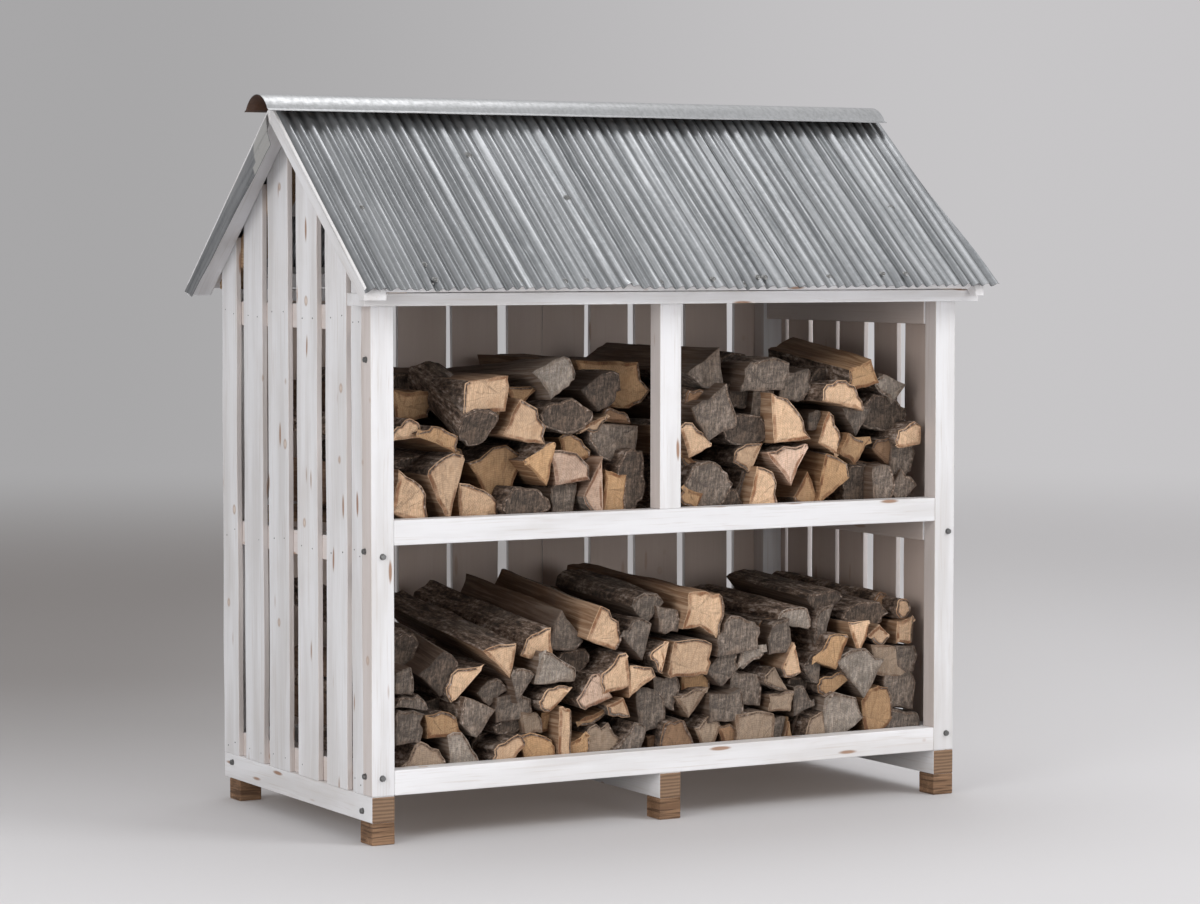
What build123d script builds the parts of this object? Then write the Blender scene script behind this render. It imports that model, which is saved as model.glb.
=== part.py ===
from build123d import *
import math
import os
import random

os.makedirs("parts", exist_ok=True)

# Timber frame, in millimetres. X runs along the front, -Y is the open front, Z is up.
frame_width = 1308  # over the outer faces of the corner posts
frame_depth = 688  # front face of the front posts to back face of the back boards
post_width = 47
post_depth = 39
post_height = 911
middle_post_offset = -12.5  # the middle post, bearer and feet stand left of the centre
bearer_width = 47
bearer_height = 49
foot_height = 42
foot_depth = 52
back_foot_inset = 25
rail_height = 47
rail_depth = 39
front_shelf_rail_height = 558  # underside of the front shelf rail above the ground
side_shelf_rail_height = 516  # underside of the middle side rails above the ground

# Boards
board_thickness = 11
floor_board_thickness = 12
floor_board_width = 94
floor_board_gap = 8
ledger_size = 22

# Roof
roof_pitch = 39.8
eave_plate_thickness = 24
eave_plate_reach = 37  # how far the front plate stands forward of the posts
eave_plate_overhang = 30  # how far it runs past the corner posts
rafter_width = 47
rafter_depth = 47
rafter_seat_inset = 22  # from the frame's face to the heel of the rafter's seat
ridge_board_thickness = 22
batten_thickness = 20
batten_width = 44
ridge_batten_start = 42  # down the slope from the apex
eave_batten_inset = 21  # from the lower edge of the sheets
barge_depth = 28
left_barge_width = 46
right_barge_width = 20
barge_tail = 70
barge_cut_drop = 13  # how far the level end cut lies under the top of the eave plate

# Corrugated sheets and ridge cap
sheet_thickness = 1.0
corrugation_pitch = 23
corrugation_depth = 8
corrugation_steps = 6
eave_overhang = 83
sheet_top_gap = 24  # from the apex to the upper edge of a sheet, down the slope
sheet_left_overhang = 46
sheet_right_overhang_top = 23
sheet_right_overhang_bottom = 47
left_sheet_corrugations = 41
lap_lift = 1.3
cap_thickness = 1.0
cap_chord = 118
cap_rise = 31
cap_lip = 9
cap_lip_angle = 22
cap_height = 13  # top of the cap over the apex of the sheets
cap_left_overhang = 74
cap_right_overhang = 23

# Firewood: a round of wood is split once or twice, or left whole
log_gap = 0.8
round_width_least = 76
round_width_most = 128
upper_log_rows = 3
lower_log_rows = 4
log_stagger = 70
log_front_gap = 3  # behind the front rails and the middle post
log_back_gap = 10  # before the back posts and rails
upper_left_heights = [272, 276, 300, 288]  # of the stack over the shelf, from left to right
upper_right_heights = [312, 300, 288, 280, 262, 205]
lower_heights = [322, 300, 306, 328, 334, 322, 318, 322, 306, 290]

fixing_gap = 0.3

# Levels and faces that follow from the sizes above
bearer_top = foot_height + bearer_height
post_top = bearer_top + post_height
plate_top = post_top + eave_plate_thickness
left_reach = max(cap_left_overhang, sheet_left_overhang, eave_plate_overhang)
right_reach = max(cap_right_overhang, sheet_right_overhang_bottom, eave_plate_overhang)
left_face = -frame_width / 2 + (left_reach - right_reach) / 2
right_face = left_face + frame_width
front_face = -frame_depth / 2
back_face = frame_depth / 2
middle_x = (left_face + right_face) / 2 + middle_post_offset
back_post_face = back_face - board_thickness
back_post_front = back_post_face - post_depth

slope = math.tan(math.radians(roof_pitch))
slope_cos = math.cos(math.radians(roof_pitch))
slope_sin = math.sin(math.radians(roof_pitch))
sheet_bed = corrugation_depth / 2 + sheet_thickness + fixing_gap
rafter_top = sheet_bed + batten_thickness
rafter_underside = rafter_top + rafter_depth
apex = plate_top + (back_face - rafter_seat_inset) * slope + rafter_underside / slope_cos
slope_length = (back_face + eave_overhang) / slope_cos


def save(piece, label):
    piece.part.label = label
    export_step(piece.part, f"parts/{label}.step")


def timber(label, low, high):
    """A straight length of timber between two opposite corners."""
    with BuildPart() as piece:
        box_between(low, high)
    save(piece, label)


def box_between(low, high):
    with BuildSketch(Plane.XY.offset(low[2])) as section:
        with Locations(((low[0] + high[0]) / 2, (low[1] + high[1]) / 2)):
            Rectangle(high[0] - low[0], high[1] - low[1])
    extrude(section.sketch, amount=high[2] - low[2])


def side_profile(points, start, width):
    """A piece cut to an outline seen from the side, from x = start."""
    with BuildSketch(Plane.YZ.offset(start)) as outline:
        with BuildLine():
            Polyline(*points, close=True)
        make_face()
    extrude(outline.sketch, amount=width)


def roof_height(y, below):
    """Height of the plane that lies a given distance under the sheets, measured square to them."""
    return apex - below / slope_cos - abs(y) * slope


def on_slope(along, below):
    """A point of the front slope: so far down it from the apex, and so far under the sheets."""
    return (-along * slope_cos + below * slope_sin, apex - along * slope_sin - below * slope_cos)


def spread(widths, gaps, start, end):
    """Board edges from start to end, the free room shared between the gaps in their proportions."""
    room = (end - start - sum(widths)) / sum(gaps)
    edges = []
    at = start
    for width, gap in zip(widths, gaps + [0]):
        edges.append((at, at + width))
        at += width + gap * room
    return edges


# Foot blocks under the ends of the bearers
bearer_places = {
    "left": left_face,
    "middle": middle_x - bearer_width / 2,
    "right": right_face - bearer_width,
}
foot_places = {
    "front": front_face,
    "back": back_face - back_foot_inset - foot_depth,
}
for row, foot_y in foot_places.items():
    for column, foot_x in bearer_places.items():
        timber(
            f"foot_{row}_{column}",
            (foot_x, foot_y, 0),
            (foot_x + bearer_width, foot_y + foot_depth, foot_height),
        )

# Bearers from front to back
for column, bearer_x in bearer_places.items():
    timber(
        f"bearer_{column}",
        (bearer_x, front_face, foot_height),
        (bearer_x + bearer_width, back_face, bearer_top),
    )

# Corner posts: the front ones are flush outside, the back ones stand behind the boards
back_left_post = left_face + board_thickness
back_right_post = right_face - board_thickness - post_width
post_places = {
    "front_left": (left_face, front_face),
    "front_right": (right_face - post_width, front_face),
    "back_left": (back_left_post, back_post_front),
    "back_right": (back_right_post, back_post_front),
}
for corner, (post_x, post_y) in post_places.items():
    timber(
        f"post_{corner}",
        (post_x, post_y, bearer_top),
        (post_x + post_width, post_y + post_depth, post_top),
    )

# Rails along the front and the back
bay_left = left_face + post_width
bay_right = right_face - post_width
shelf_rail_top = front_shelf_rail_height + rail_height
for name, rail_z in {"bottom": bearer_top, "middle": front_shelf_rail_height}.items():
    timber(
        f"rail_front_{name}",
        (bay_left, front_face, rail_z),
        (bay_right, front_face + rail_depth, rail_z + rail_height),
    )
    timber(
        f"rail_back_{name}",
        (back_left_post + post_width, back_post_face - rail_depth, rail_z),
        (back_right_post, back_post_face, rail_z + rail_height),
    )

# The middle post parts the upper storey in two bays
timber(
    "post_front_middle",
    (middle_x - post_width / 2, front_face, shelf_rail_top),
    (middle_x + post_width / 2, front_face + post_depth, post_top),
)

# Plates on the post heads
timber(
    "eave_plate_front",
    (left_face - eave_plate_overhang, front_face - eave_plate_reach, post_top),
    (right_face + eave_plate_overhang, front_face + post_depth, plate_top),
)
timber(
    "eave_plate_back",
    (back_left_post, back_post_front, post_top),
    (back_right_post + post_width, back_post_face, plate_top),
)

# Side rails behind the wall boards, three on each side
side_rail_levels = [bearer_top, side_shelf_rail_height, post_top - rail_height]
side_rail_places = {
    "left": left_face + board_thickness,
    "right": right_face - board_thickness - rail_depth,
}
for side, rail_x in side_rail_places.items():
    with BuildPart() as side_rails:
        for level in side_rail_levels:
            box_between(
                (rail_x, front_face + post_depth, level),
                (rail_x + rail_depth, back_post_front, level + rail_height),
            )
    save(side_rails, f"side_rails_{side}")

# Ledgers on the inner faces of the shelf rails
shelf_front = front_face + rail_depth
shelf_back = back_post_face - rail_depth
ledger_bottom = front_shelf_rail_height
shelf_left = left_face + board_thickness + rail_depth + fixing_gap
shelf_right = right_face - board_thickness - rail_depth - fixing_gap
with BuildPart() as shelf_ledgers:
    for ledger_y in (shelf_front, shelf_back - ledger_size):
        box_between(
            (back_left_post + post_width, ledger_y, ledger_bottom),
            (back_right_post, ledger_y + ledger_size, ledger_bottom + ledger_size),
        )
save(shelf_ledgers, "shelf_ledgers")

# Shelf boards run from front to back on the ledgers
board_step = floor_board_width + floor_board_gap
shelf_bottom = ledger_bottom + ledger_size
shelf_top = shelf_bottom + floor_board_thickness
shelf_count = int((shelf_right - shelf_left + floor_board_gap) // board_step)
shelf_step = (shelf_right - shelf_left - floor_board_width) / (shelf_count - 1)
with BuildPart() as shelf_boards:
    with BuildSketch(Plane.XY.offset(shelf_bottom)):
        with Locations(((shelf_left + shelf_right) / 2, (shelf_front + shelf_back) / 2)):
            with GridLocations(shelf_step, 1, shelf_count, 1):
                Rectangle(floor_board_width, shelf_back - shelf_front)
    extrude(amount=floor_board_thickness)
save(shelf_boards, "shelf_boards")

# Floor boards run along the store on the three bearers
floor_front = front_face + rail_depth + fixing_gap
floor_back = back_post_front - fixing_gap
floor_count = int((floor_back - floor_front + floor_board_gap) // board_step)
floor_step = (floor_back - floor_front - floor_board_width) / (floor_count - 1)
floor_top = bearer_top + floor_board_thickness
floor_left = left_face + board_thickness + rail_depth + fixing_gap
floor_right = right_face - board_thickness - rail_depth - fixing_gap
with BuildPart() as floor_boards:
    with BuildSketch(Plane.XY.offset(bearer_top)):
        with Locations(((floor_left + floor_right) / 2, (floor_front + floor_back) / 2)):
            with GridLocations(1, floor_step, 1, floor_count):
                Rectangle(floor_right - floor_left, floor_board_width)
    extrude(amount=floor_board_thickness)
save(floor_boards, "floor_boards")

# Side wall boards, front to back, with their tops cut to the roof slope
side_boards = {
    "left": ([45, 92, 93, 95, 90, 73], [21, 38, 40, 26, 35]),
    "right": ([36, 84, 86, 94, 92, 80, 66], [5, 28, 37, 13, 18, 10]),
}
wall_places = {"left": left_face, "right": right_face - board_thickness}
board_top = rafter_top + fixing_gap
wall_start = front_face + post_depth + fixing_gap


def wall_board(front, back, bottom):
    """One upright board whose top follows the roof, peaked where it crosses the ridge line."""
    top = [(back, roof_height(back, board_top)), (front, roof_height(front, board_top))]
    if front < 0 < back:
        top.insert(1, (0, roof_height(0, board_top)))
    return [(front, bottom), (back, bottom)] + top


for side, (widths, gaps) in side_boards.items():
    with BuildPart() as wall:
        for front, back in spread(widths, gaps, wall_start, back_face):
            side_profile(wall_board(front, back, bearer_top), wall_places[side], board_thickness)
        # The cheek closes the corner between the eave plate and the barge board
        cheek = wall_board(front_face - eave_plate_reach, wall_start - fixing_gap, plate_top)
        side_profile(cheek, wall_places[side], board_thickness)
    save(wall, f"{side}_wall_boards")

# Back wall boards between the side walls
back_widths = [107, 108, 119, 112, 107, 81, 102, 92, 105, 106, 97]
back_gaps = [14, 18, 10, 14, 24, 1, 14, 18, 19, 19]
wall_inner_left = left_face + board_thickness + fixing_gap
wall_inner_right = right_face - board_thickness - fixing_gap
with BuildPart() as back_wall_boards:
    for low_x, high_x in spread(back_widths, back_gaps, wall_inner_left, wall_inner_right):
        box_between((low_x, back_post_face, bearer_top), (high_x, back_face, plate_top))
save(back_wall_boards, "back_wall_boards")

# The ridge cap is a shallow arc with turned-out lips
cap_middle = apex + cap_height
lip_drop = cap_lip * math.sin(math.radians(cap_lip_angle))
lip_reach = cap_lip * math.cos(math.radians(cap_lip_angle))
cap_edge = cap_chord / 2 - lip_reach
cap_arc_rise = cap_rise - lip_drop
cap_radius = (cap_edge**2 + cap_arc_rise**2) / (2 * cap_arc_rise)

# Ridge board, standing proud of the sheets to carry the cap
ridge_half = ridge_board_thickness / 2
ridge_bottom = roof_height(ridge_half, rafter_underside)
cap_underside = cap_middle - cap_thickness / 2 - cap_radius + math.sqrt(cap_radius**2 - ridge_half**2)
timber(
    "ridge_board",
    (left_face + board_thickness, -ridge_half, ridge_bottom),
    (right_face - board_thickness, ridge_half, cap_underside - fixing_gap),
)

# Rafters against the side walls, seated on the plates
heel = back_face - rafter_seat_inset
tail = back_face + eave_plate_reach
rafter_outline = [
    (-ridge_half, roof_height(ridge_half, rafter_top)),
    (-ridge_half, ridge_bottom),
    (-heel, plate_top),
    (-tail, plate_top),
    (-tail, roof_height(tail, rafter_top)),
]
rafter_places = {
    "left": left_face + board_thickness,
    "right": right_face - board_thickness - rafter_width,
}
for side, rafter_x in rafter_places.items():
    with BuildPart() as rafters:
        side_profile(rafter_outline, rafter_x, rafter_width)
        mirror(about=Plane.XZ)
    save(rafters, f"rafters_{side}")

# Barge boards outside the walls, mitred at the apex and cut level at the foot
barge_bottom = sheet_bed + barge_depth
barge_cut = plate_top - barge_cut_drop
barge_end = back_face + barge_tail
barge_outline = [
    (-fixing_gap / 2, roof_height(0, sheet_bed)),
    (-fixing_gap / 2, roof_height(0, barge_bottom)),
    (-(roof_height(0, barge_bottom) - barge_cut) / slope, barge_cut),
    (-barge_end, barge_cut),
    (-barge_end, roof_height(barge_end, sheet_bed)),
]
barge_places = {
    "left": (left_face - left_barge_width, left_barge_width),
    "right": (right_face, right_barge_width),
}
for side, (barge_x, barge_width) in barge_places.items():
    with BuildPart() as barge_front:
        side_profile(barge_outline, barge_x, barge_width)
    save(barge_front, f"barge_{side}_front")
    with BuildPart() as barge_back:
        mirror(barge_front.part, about=Plane.XZ)
    save(barge_back, f"barge_{side}_back")

# Battens along the roof under the sheets
eave_batten = slope_length - eave_batten_inset - batten_width
middle_batten = (ridge_batten_start + eave_batten) / 2
with BuildPart() as battens_front:
    for start in (ridge_batten_start, middle_batten, eave_batten):
        corners = [
            on_slope(start, sheet_bed),
            on_slope(start + batten_width, sheet_bed),
            on_slope(start + batten_width, rafter_top),
            on_slope(start, rafter_top),
        ]
        side_profile(corners, left_face, frame_width)
save(battens_front, "battens_front")
with BuildPart() as battens_back:
    mirror(battens_front.part, about=Plane.XZ)
save(battens_back, "battens_back")

# Corrugated sheets: a wave across the slope, drawn square to it and run down it
front_slope = Plane(
    origin=(0, 0, apex),
    x_dir=(1, 0, 0),
    z_dir=(0, -slope_cos, -slope_sin),
)


def wave(start, count, lift):
    """The outline of a corrugated sheet: its upper line, then the lower line back again."""
    upper = []
    for step in range(count * corrugation_steps + 1):
        phase = 2 * math.pi * step / corrugation_steps
        height = corrugation_depth / 2 * math.cos(phase) + sheet_thickness / 2 + lift
        upper.append((start + corrugation_pitch * step / corrugation_steps, height))
    lower = [(x, height - sheet_thickness) for x, height in reversed(upper)]
    return upper + lower


def corrugated_sheet(start, count, lift):
    with BuildSketch(front_slope.offset(sheet_top_gap)) as section:
        with BuildLine():
            Polyline(*wave(start, count, lift), close=True)
        make_face()
    extrude(section.sketch, amount=slope_length - sheet_top_gap)


left_edge = left_face - sheet_left_overhang
right_edge = right_face + sheet_right_overhang_bottom
lap_edge = left_edge + (left_sheet_corrugations - 1) * corrugation_pitch
right_count = math.ceil((right_edge - lap_edge) / corrugation_pitch)

with BuildPart() as sheet_front_left:
    corrugated_sheet(left_edge, left_sheet_corrugations, 0)
save(sheet_front_left, "roof_sheet_front_left")

# The right sheet laps over the left one and its end is cut out of square
end_taper = sheet_right_overhang_bottom - sheet_right_overhang_top
end_cut = Plane(
    origin=(right_face + sheet_right_overhang_top, 0, apex),
    x_dir=(0, -slope_sin, slope_cos),
    z_dir=(slope_length, end_taper * slope_cos, end_taper * slope_sin),
)
with BuildPart() as sheet_front_right:
    corrugated_sheet(lap_edge, right_count, lap_lift)
    split(bisect_by=end_cut, keep=Keep.BOTTOM)
save(sheet_front_right, "roof_sheet_front_right")

for side, sheet in {"left": sheet_front_left, "right": sheet_front_right}.items():
    with BuildPart() as sheet_back:
        mirror(sheet.part, about=Plane.XZ)
    save(sheet_back, f"roof_sheet_back_{side}")

# Ridge cap, bent from one strip
cap_spring = cap_middle - cap_arc_rise
with BuildPart() as ridge_cap:
    with BuildSketch(Plane.YZ.offset(left_face - cap_left_overhang)):
        with BuildLine():
            Line((-cap_edge - lip_reach, cap_spring - lip_drop), (-cap_edge, cap_spring))
            ThreePointArc((-cap_edge, cap_spring), (0, cap_middle), (cap_edge, cap_spring))
            Line((cap_edge, cap_spring), (cap_edge + lip_reach, cap_spring - lip_drop))
        trace(line_width=cap_thickness)
    extrude(amount=frame_width + cap_left_overhang + cap_right_overhang)
save(ridge_cap, "ridge_cap")


# Split firewood. Each round fills its own share of the pile, the room nearer to it than to its neighbours
def clip(outline, point, normal):
    """The part of a convex outline that lies behind a line through a point."""
    kept = []
    for first, second in zip(outline, outline[1:] + outline[:1]):
        ahead = (first[0] - point[0]) * normal[0] + (first[1] - point[1]) * normal[1]
        behind = (second[0] - point[0]) * normal[0] + (second[1] - point[1]) * normal[1]
        if ahead <= 0:
            kept.append(first)
        if ahead * behind < 0:
            share = ahead / (ahead - behind)
            kept.append(tuple(a + (b - a) * share for a, b in zip(first, second)))
    return kept


def step_from(point, direction, distance):
    return (point[0] + direction[0] * distance, point[1] + direction[1] * distance)


def heading(degrees):
    return (math.cos(math.radians(degrees)), math.sin(math.radians(degrees)))


def round_outline(centre, others, low, high, reach):
    """The share of one round, no further than its reach from its centre."""
    outline = [low, (high[0], low[1]), high, (low[0], high[1])]
    for turn in range(20, 380, 45):
        outline = clip(outline, step_from(centre, heading(turn), reach), heading(turn))
    for other in others:
        away = (other[0] - centre[0], other[1] - centre[1])
        distance = math.hypot(*away)
        if 0 < distance < 4 * reach:
            normal = (away[0] / distance, away[1] / distance)
            outline = clip(outline, step_from(centre, normal, (distance - log_gap) / 2), normal)
    return outline


def split_outline(outline, point, degrees):
    """The two halves of an outline, split through a point."""
    normal = heading(degrees)
    back = (-normal[0], -normal[1])
    return [
        clip(outline, step_from(point, normal, -log_gap / 2), normal),
        clip(outline, step_from(point, back, -log_gap / 2), back),
    ]


def stack_centres(low, high, rows, heights, chance):
    """Centres and widths of the rounds, in rows that rise and fall with the height of the stack."""
    centres = []
    span = high[0] - low[0]
    for row in range(rows):
        widths = [chance.uniform(round_width_least, round_width_most) / (1 + row % 2)]
        while sum(widths) < span - round_width_least:
            widths.append(chance.uniform(round_width_least, round_width_most))
        stretch = span / sum(widths)
        at = low[0]
        for width in widths:
            x = at + width * stretch / 2
            at += width * stretch
            place = (x - low[0]) / span * (len(heights) - 1)
            before = int(place)
            height = heights[before] + (heights[before + 1] - heights[before]) * (place - before)
            z = low[1] + height / rows * (row + 0.5) + chance.uniform(-9, 9)
            centres.append((x, z, max(width * stretch, height / rows)))
    return centres


def split_log(outline, centre, chance):
    """A round left whole, or split in two or three."""
    turn = chance.uniform(0, 180)
    heart = step_from(centre, heading(turn), chance.uniform(-6, 6))
    if chance.random() < 0.2:
        return [outline]
    pieces = split_outline(outline, heart, turn)
    if centre[2] > 104 and chance.random() < 0.4:
        pieces = pieces[:1] + split_outline(pieces[1], heart, turn + chance.uniform(75, 105))
    return pieces


def firewood(label, low, high, rows, heights):
    """A stack of split logs, each with flat split faces and a round side of bark."""
    chance = random.Random(label)
    centres = stack_centres(low, high, rows, heights, chance)
    frontmost = front_face + post_depth + log_front_gap
    backmost = back_post_front - log_back_gap
    with BuildPart() as stack:
        for centre in centres:
            reach = centre[2] * 0.57
            radius = reach * chance.uniform(1.0, 1.08)
            whole = round_outline(centre, centres, low, high, reach)
            for piece in split_log(whole, centre, chance):
                front = frontmost + chance.uniform(0, log_stagger) * chance.random()
                back = backmost - chance.uniform(0, log_stagger)
                with BuildSketch(Plane(origin=(0, front, 0), x_dir=(1, 0, 0), z_dir=(0, -1, 0))):
                    with BuildLine():
                        Polyline(*piece, close=True)
                    make_face()
                    with Locations((centre[0], centre[1])):
                        Circle(radius, mode=Mode.INTERSECT)
                extrude(amount=front - back)
    save(stack, label)


log_left = left_face + board_thickness + rail_depth + 2 * fixing_gap
log_right = right_face - board_thickness - rail_depth - 2 * fixing_gap
log_headroom = post_top - rail_height
firewood(
    "firewood_upper_left",
    (log_left, shelf_top + fixing_gap),
    (middle_x - fixing_gap, log_headroom),
    upper_log_rows,
    upper_left_heights,
)
firewood(
    "firewood_upper_right",
    (middle_x + fixing_gap, shelf_top + fixing_gap),
    (log_right, log_headroom),
    upper_log_rows,
    upper_right_heights,
)
firewood(
    "firewood_lower",
    (log_left, floor_top + fixing_gap),
    (log_right, side_shelf_rail_height - fixing_gap),
    lower_log_rows,
    lower_heights,
)
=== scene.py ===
import math
import random

import bmesh
import bpy
from mathutils import Euler, Matrix, Vector, noise


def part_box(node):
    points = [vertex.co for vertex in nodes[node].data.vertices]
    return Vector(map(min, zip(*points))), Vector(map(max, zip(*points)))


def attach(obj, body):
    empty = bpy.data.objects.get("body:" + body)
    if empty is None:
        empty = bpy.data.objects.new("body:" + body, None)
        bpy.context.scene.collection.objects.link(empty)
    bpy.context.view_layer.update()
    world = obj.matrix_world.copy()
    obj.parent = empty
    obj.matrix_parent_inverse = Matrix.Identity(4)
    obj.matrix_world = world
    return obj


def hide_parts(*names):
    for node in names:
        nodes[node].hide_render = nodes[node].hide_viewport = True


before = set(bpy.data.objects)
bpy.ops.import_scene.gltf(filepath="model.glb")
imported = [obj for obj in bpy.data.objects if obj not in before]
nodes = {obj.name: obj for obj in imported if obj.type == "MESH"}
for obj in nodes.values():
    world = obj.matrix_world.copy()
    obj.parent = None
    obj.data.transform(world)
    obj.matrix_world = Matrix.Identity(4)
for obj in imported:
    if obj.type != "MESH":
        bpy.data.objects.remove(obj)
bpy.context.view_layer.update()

scene = bpy.context.scene
scene.view_settings.view_transform = "Standard"
noise.seed_set(8)  # noise_vector differs from run to run without it


# Shader helpers
def addNode(tree, kind, **settings):
    node = tree.nodes.new(kind)
    for key, value in settings.items():
        setattr(node, key, value)
    return node


def feed(tree, target, value):
    # value is a socket to link, or a number or colour to set
    if isinstance(value, bpy.types.NodeSocket):
        tree.links.new(value, target)
    else:
        target.default_value = value


def calculate(tree, operation, first, second=0.0):
    node = addNode(tree, "ShaderNodeMath", operation=operation)
    feed(tree, node.inputs[0], first)
    feed(tree, node.inputs[1], second)
    return node.outputs[0]


def times(tree, first, second):
    return calculate(tree, "MULTIPLY", first, second)


def plus(tree, first, second):
    return calculate(tree, "ADD", first, second)


def minus(tree, first, second):
    return calculate(tree, "SUBTRACT", first, second)


def remap(tree, value, low, high, newLow=0.0, newHigh=1.0):
    node = addNode(tree, "ShaderNodeMapRange", interpolation_type="SMOOTHSTEP")
    feed(tree, node.inputs["Value"], value)
    for name, number in zip(("From Min", "From Max", "To Min", "To Max"), (low, high, newLow, newHigh)):
        feed(tree, node.inputs[name], number)
    return node.outputs["Result"]


def blendColours(tree, share, first, second, mode="MIX"):
    node = addNode(tree, "ShaderNodeMix", data_type="RGBA", blend_type=mode)
    feed(tree, node.inputs["Factor"], share)
    feed(tree, node.inputs["A"], first)
    feed(tree, node.inputs["B"], second)
    return node.outputs["Result"]


def tinted(tree, colour, mask, amount, other):
    # Moves a colour towards another one by an amount of a mask
    return blendColours(tree, times(tree, mask, amount), colour, other)


def levelled(tree, colour, level):
    # Multiplies a colour by one level
    grey = addNode(tree, "ShaderNodeCombineColor")
    for channel in range(3):
        feed(tree, grey.inputs[channel], level)
    return blendColours(tree, 1.0, colour, grey.outputs[0], "MULTIPLY")


def axesOf(tree, vector):
    split = addNode(tree, "ShaderNodeSeparateXYZ")
    feed(tree, split.inputs[0], vector)
    return split.outputs


def stretched(tree, vector, scale):
    node = addNode(tree, "ShaderNodeVectorMath", operation="MULTIPLY")
    feed(tree, node.inputs[0], vector)
    node.inputs[1].default_value = scale
    return node.outputs[0]


def noiseOf(tree, vector, scale, detail=3.0, roughness=0.55):
    node = addNode(tree, "ShaderNodeTexNoise")
    feed(tree, node.inputs["Vector"], vector)
    node.inputs["Scale"].default_value = scale
    node.inputs["Detail"].default_value = detail
    node.inputs["Roughness"].default_value = roughness
    return node.outputs["Fac"]


def spotsOf(tree, vector, scale, radius, share):
    # Round spots in a share of the cells of a Voronoi texture
    cells = addNode(tree, "ShaderNodeTexVoronoi")
    feed(tree, cells.inputs["Vector"], vector)
    cells.inputs["Scale"].default_value = scale
    spot = remap(tree, cells.outputs["Distance"], radius, radius * 0.55)
    split = addNode(tree, "ShaderNodeSeparateColor")
    tree.links.new(cells.outputs["Color"], split.inputs["Color"])
    chosen = calculate(tree, "LESS_THAN", split.outputs[0], share)
    return times(tree, spot, chosen), cells.outputs["Distance"]


def newGroup(name, *outputs):
    # A node group with one vector in and numbers out
    group = bpy.data.node_groups.new(name, "ShaderNodeTree")
    group.interface.new_socket("Vector", in_out="INPUT", socket_type="NodeSocketVector")
    for label in outputs:
        group.interface.new_socket(label, in_out="OUTPUT", socket_type="NodeSocketFloat")
    return group, addNode(group, "NodeGroupInput").outputs["Vector"], addNode(group, "NodeGroupOutput").inputs


def placeGroup(tree, group, **values):
    node = addNode(tree, "ShaderNodeGroup")
    node.node_tree = group
    for name, value in values.items():
        feed(tree, node.inputs[name], value)
    return node


def newMaterial(name, roughness=0.6, metallic=0.0):
    material = bpy.data.materials.new(name)
    material.use_nodes = True
    tree = material.node_tree
    shader = tree.nodes["Principled BSDF"]
    shader.inputs["Roughness"].default_value = roughness
    shader.inputs["Metallic"].default_value = metallic
    return material, tree, shader


def objectPoint(tree, turn=(0, 0, 0)):
    # Object coordinates, turned so that the grain runs along X
    coordinates = addNode(tree, "ShaderNodeTexCoord")
    mapping = addNode(tree, "ShaderNodeMapping")
    tree.links.new(coordinates.outputs["Object"], mapping.inputs["Vector"])
    mapping.inputs["Rotation"].default_value = turn
    return mapping.outputs["Vector"]


def attributeOf(tree, name, output="Fac"):
    return addNode(tree, "ShaderNodeAttribute", attribute_name=name).outputs[output]


def addBump(tree, shader, height, distance, strength=1.0):
    bump = addNode(tree, "ShaderNodeBump")
    bump.inputs["Strength"].default_value = strength
    bump.inputs["Distance"].default_value = distance
    feed(tree, bump.inputs["Height"], height)
    tree.links.new(bump.outputs["Normal"], shader.inputs["Normal"])


# Softwood figure: fine grain, broad changes, knots and short resin marks along X
def buildSoftwood():
    outputs = ("Grain", "Broad", "Knot", "Heart", "Resin")
    group, vector, gives = newGroup("softwoodFigure", *outputs)
    bend = noiseOf(group, stretched(group, vector, (3, 9, 9)), 1.0, 2.0)
    bent = addNode(group, "ShaderNodeVectorMath", operation="ADD")
    group.links.new(vector, bent.inputs[0])
    offset = addNode(group, "ShaderNodeCombineXYZ")
    feed(group, offset.inputs["Y"], times(group, bend, 0.02))
    feed(group, offset.inputs["Z"], times(group, bend, 0.014))
    group.links.new(offset.outputs[0], bent.inputs[1])
    along = bent.outputs[0]
    grain = noiseOf(group, stretched(group, along, (5, 260, 260)), 1.0, 3.0, 0.6)
    broad = noiseOf(group, stretched(group, along, (2.5, 22, 22)), 1.0, 3.0)
    knot, distance = spotsOf(group, stretched(group, vector, (0.75, 1, 1)), 12.0, 0.11, 0.8)
    resin = spotsOf(group, stretched(group, along, (0.17, 1, 1)), 30.0, 0.15, 0.85)[0]
    heart = remap(group, distance, 0.035, 0.09)
    for name, value in zip(outputs, (grain, broad, knot, heart, resin)):
        feed(group, gives[name], value)
    return group


# Wear and grime: blotches of dirt, fine speckles
def buildGrime():
    group, vector, gives = newGroup("grime", "Blotch", "Speckle")
    feed(group, gives["Blotch"], remap(group, noiseOf(group, vector, 4.5, 5.0, 0.62), 0.47, 0.72))
    feed(group, gives["Speckle"], remap(group, noiseOf(group, vector, 190.0, 2.0), 0.56, 0.74))
    return group


softwood = buildSoftwood()
grime = buildGrime()

grainTurns = {
    "X": (0, 0, 0),
    "Y": (0, 0, math.radians(90)),
    "Z": (0, math.radians(90), 0),
}

paint = {
    "bright": (0.79, 0.78, 0.79, 1),
    "dull": (0.67, 0.65, 0.645, 1),
    "line": (0.56, 0.50, 0.45, 1),
    "knot": (0.34, 0.18, 0.095, 1),
    "heart": (0.66, 0.54, 0.45, 1),
    "resin": (0.30, 0.15, 0.075, 1),
    # painted shade: a warm darker colour for faces in the shade inside the store and in the gaps between boards
    "paintedShadeWarm": (0.50, 0.375, 0.305, 1),
    "sawnEnd": (0.27, 0.165, 0.095, 1),
    "sawnEndDark": (0.10, 0.052, 0.027, 1),
}


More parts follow.
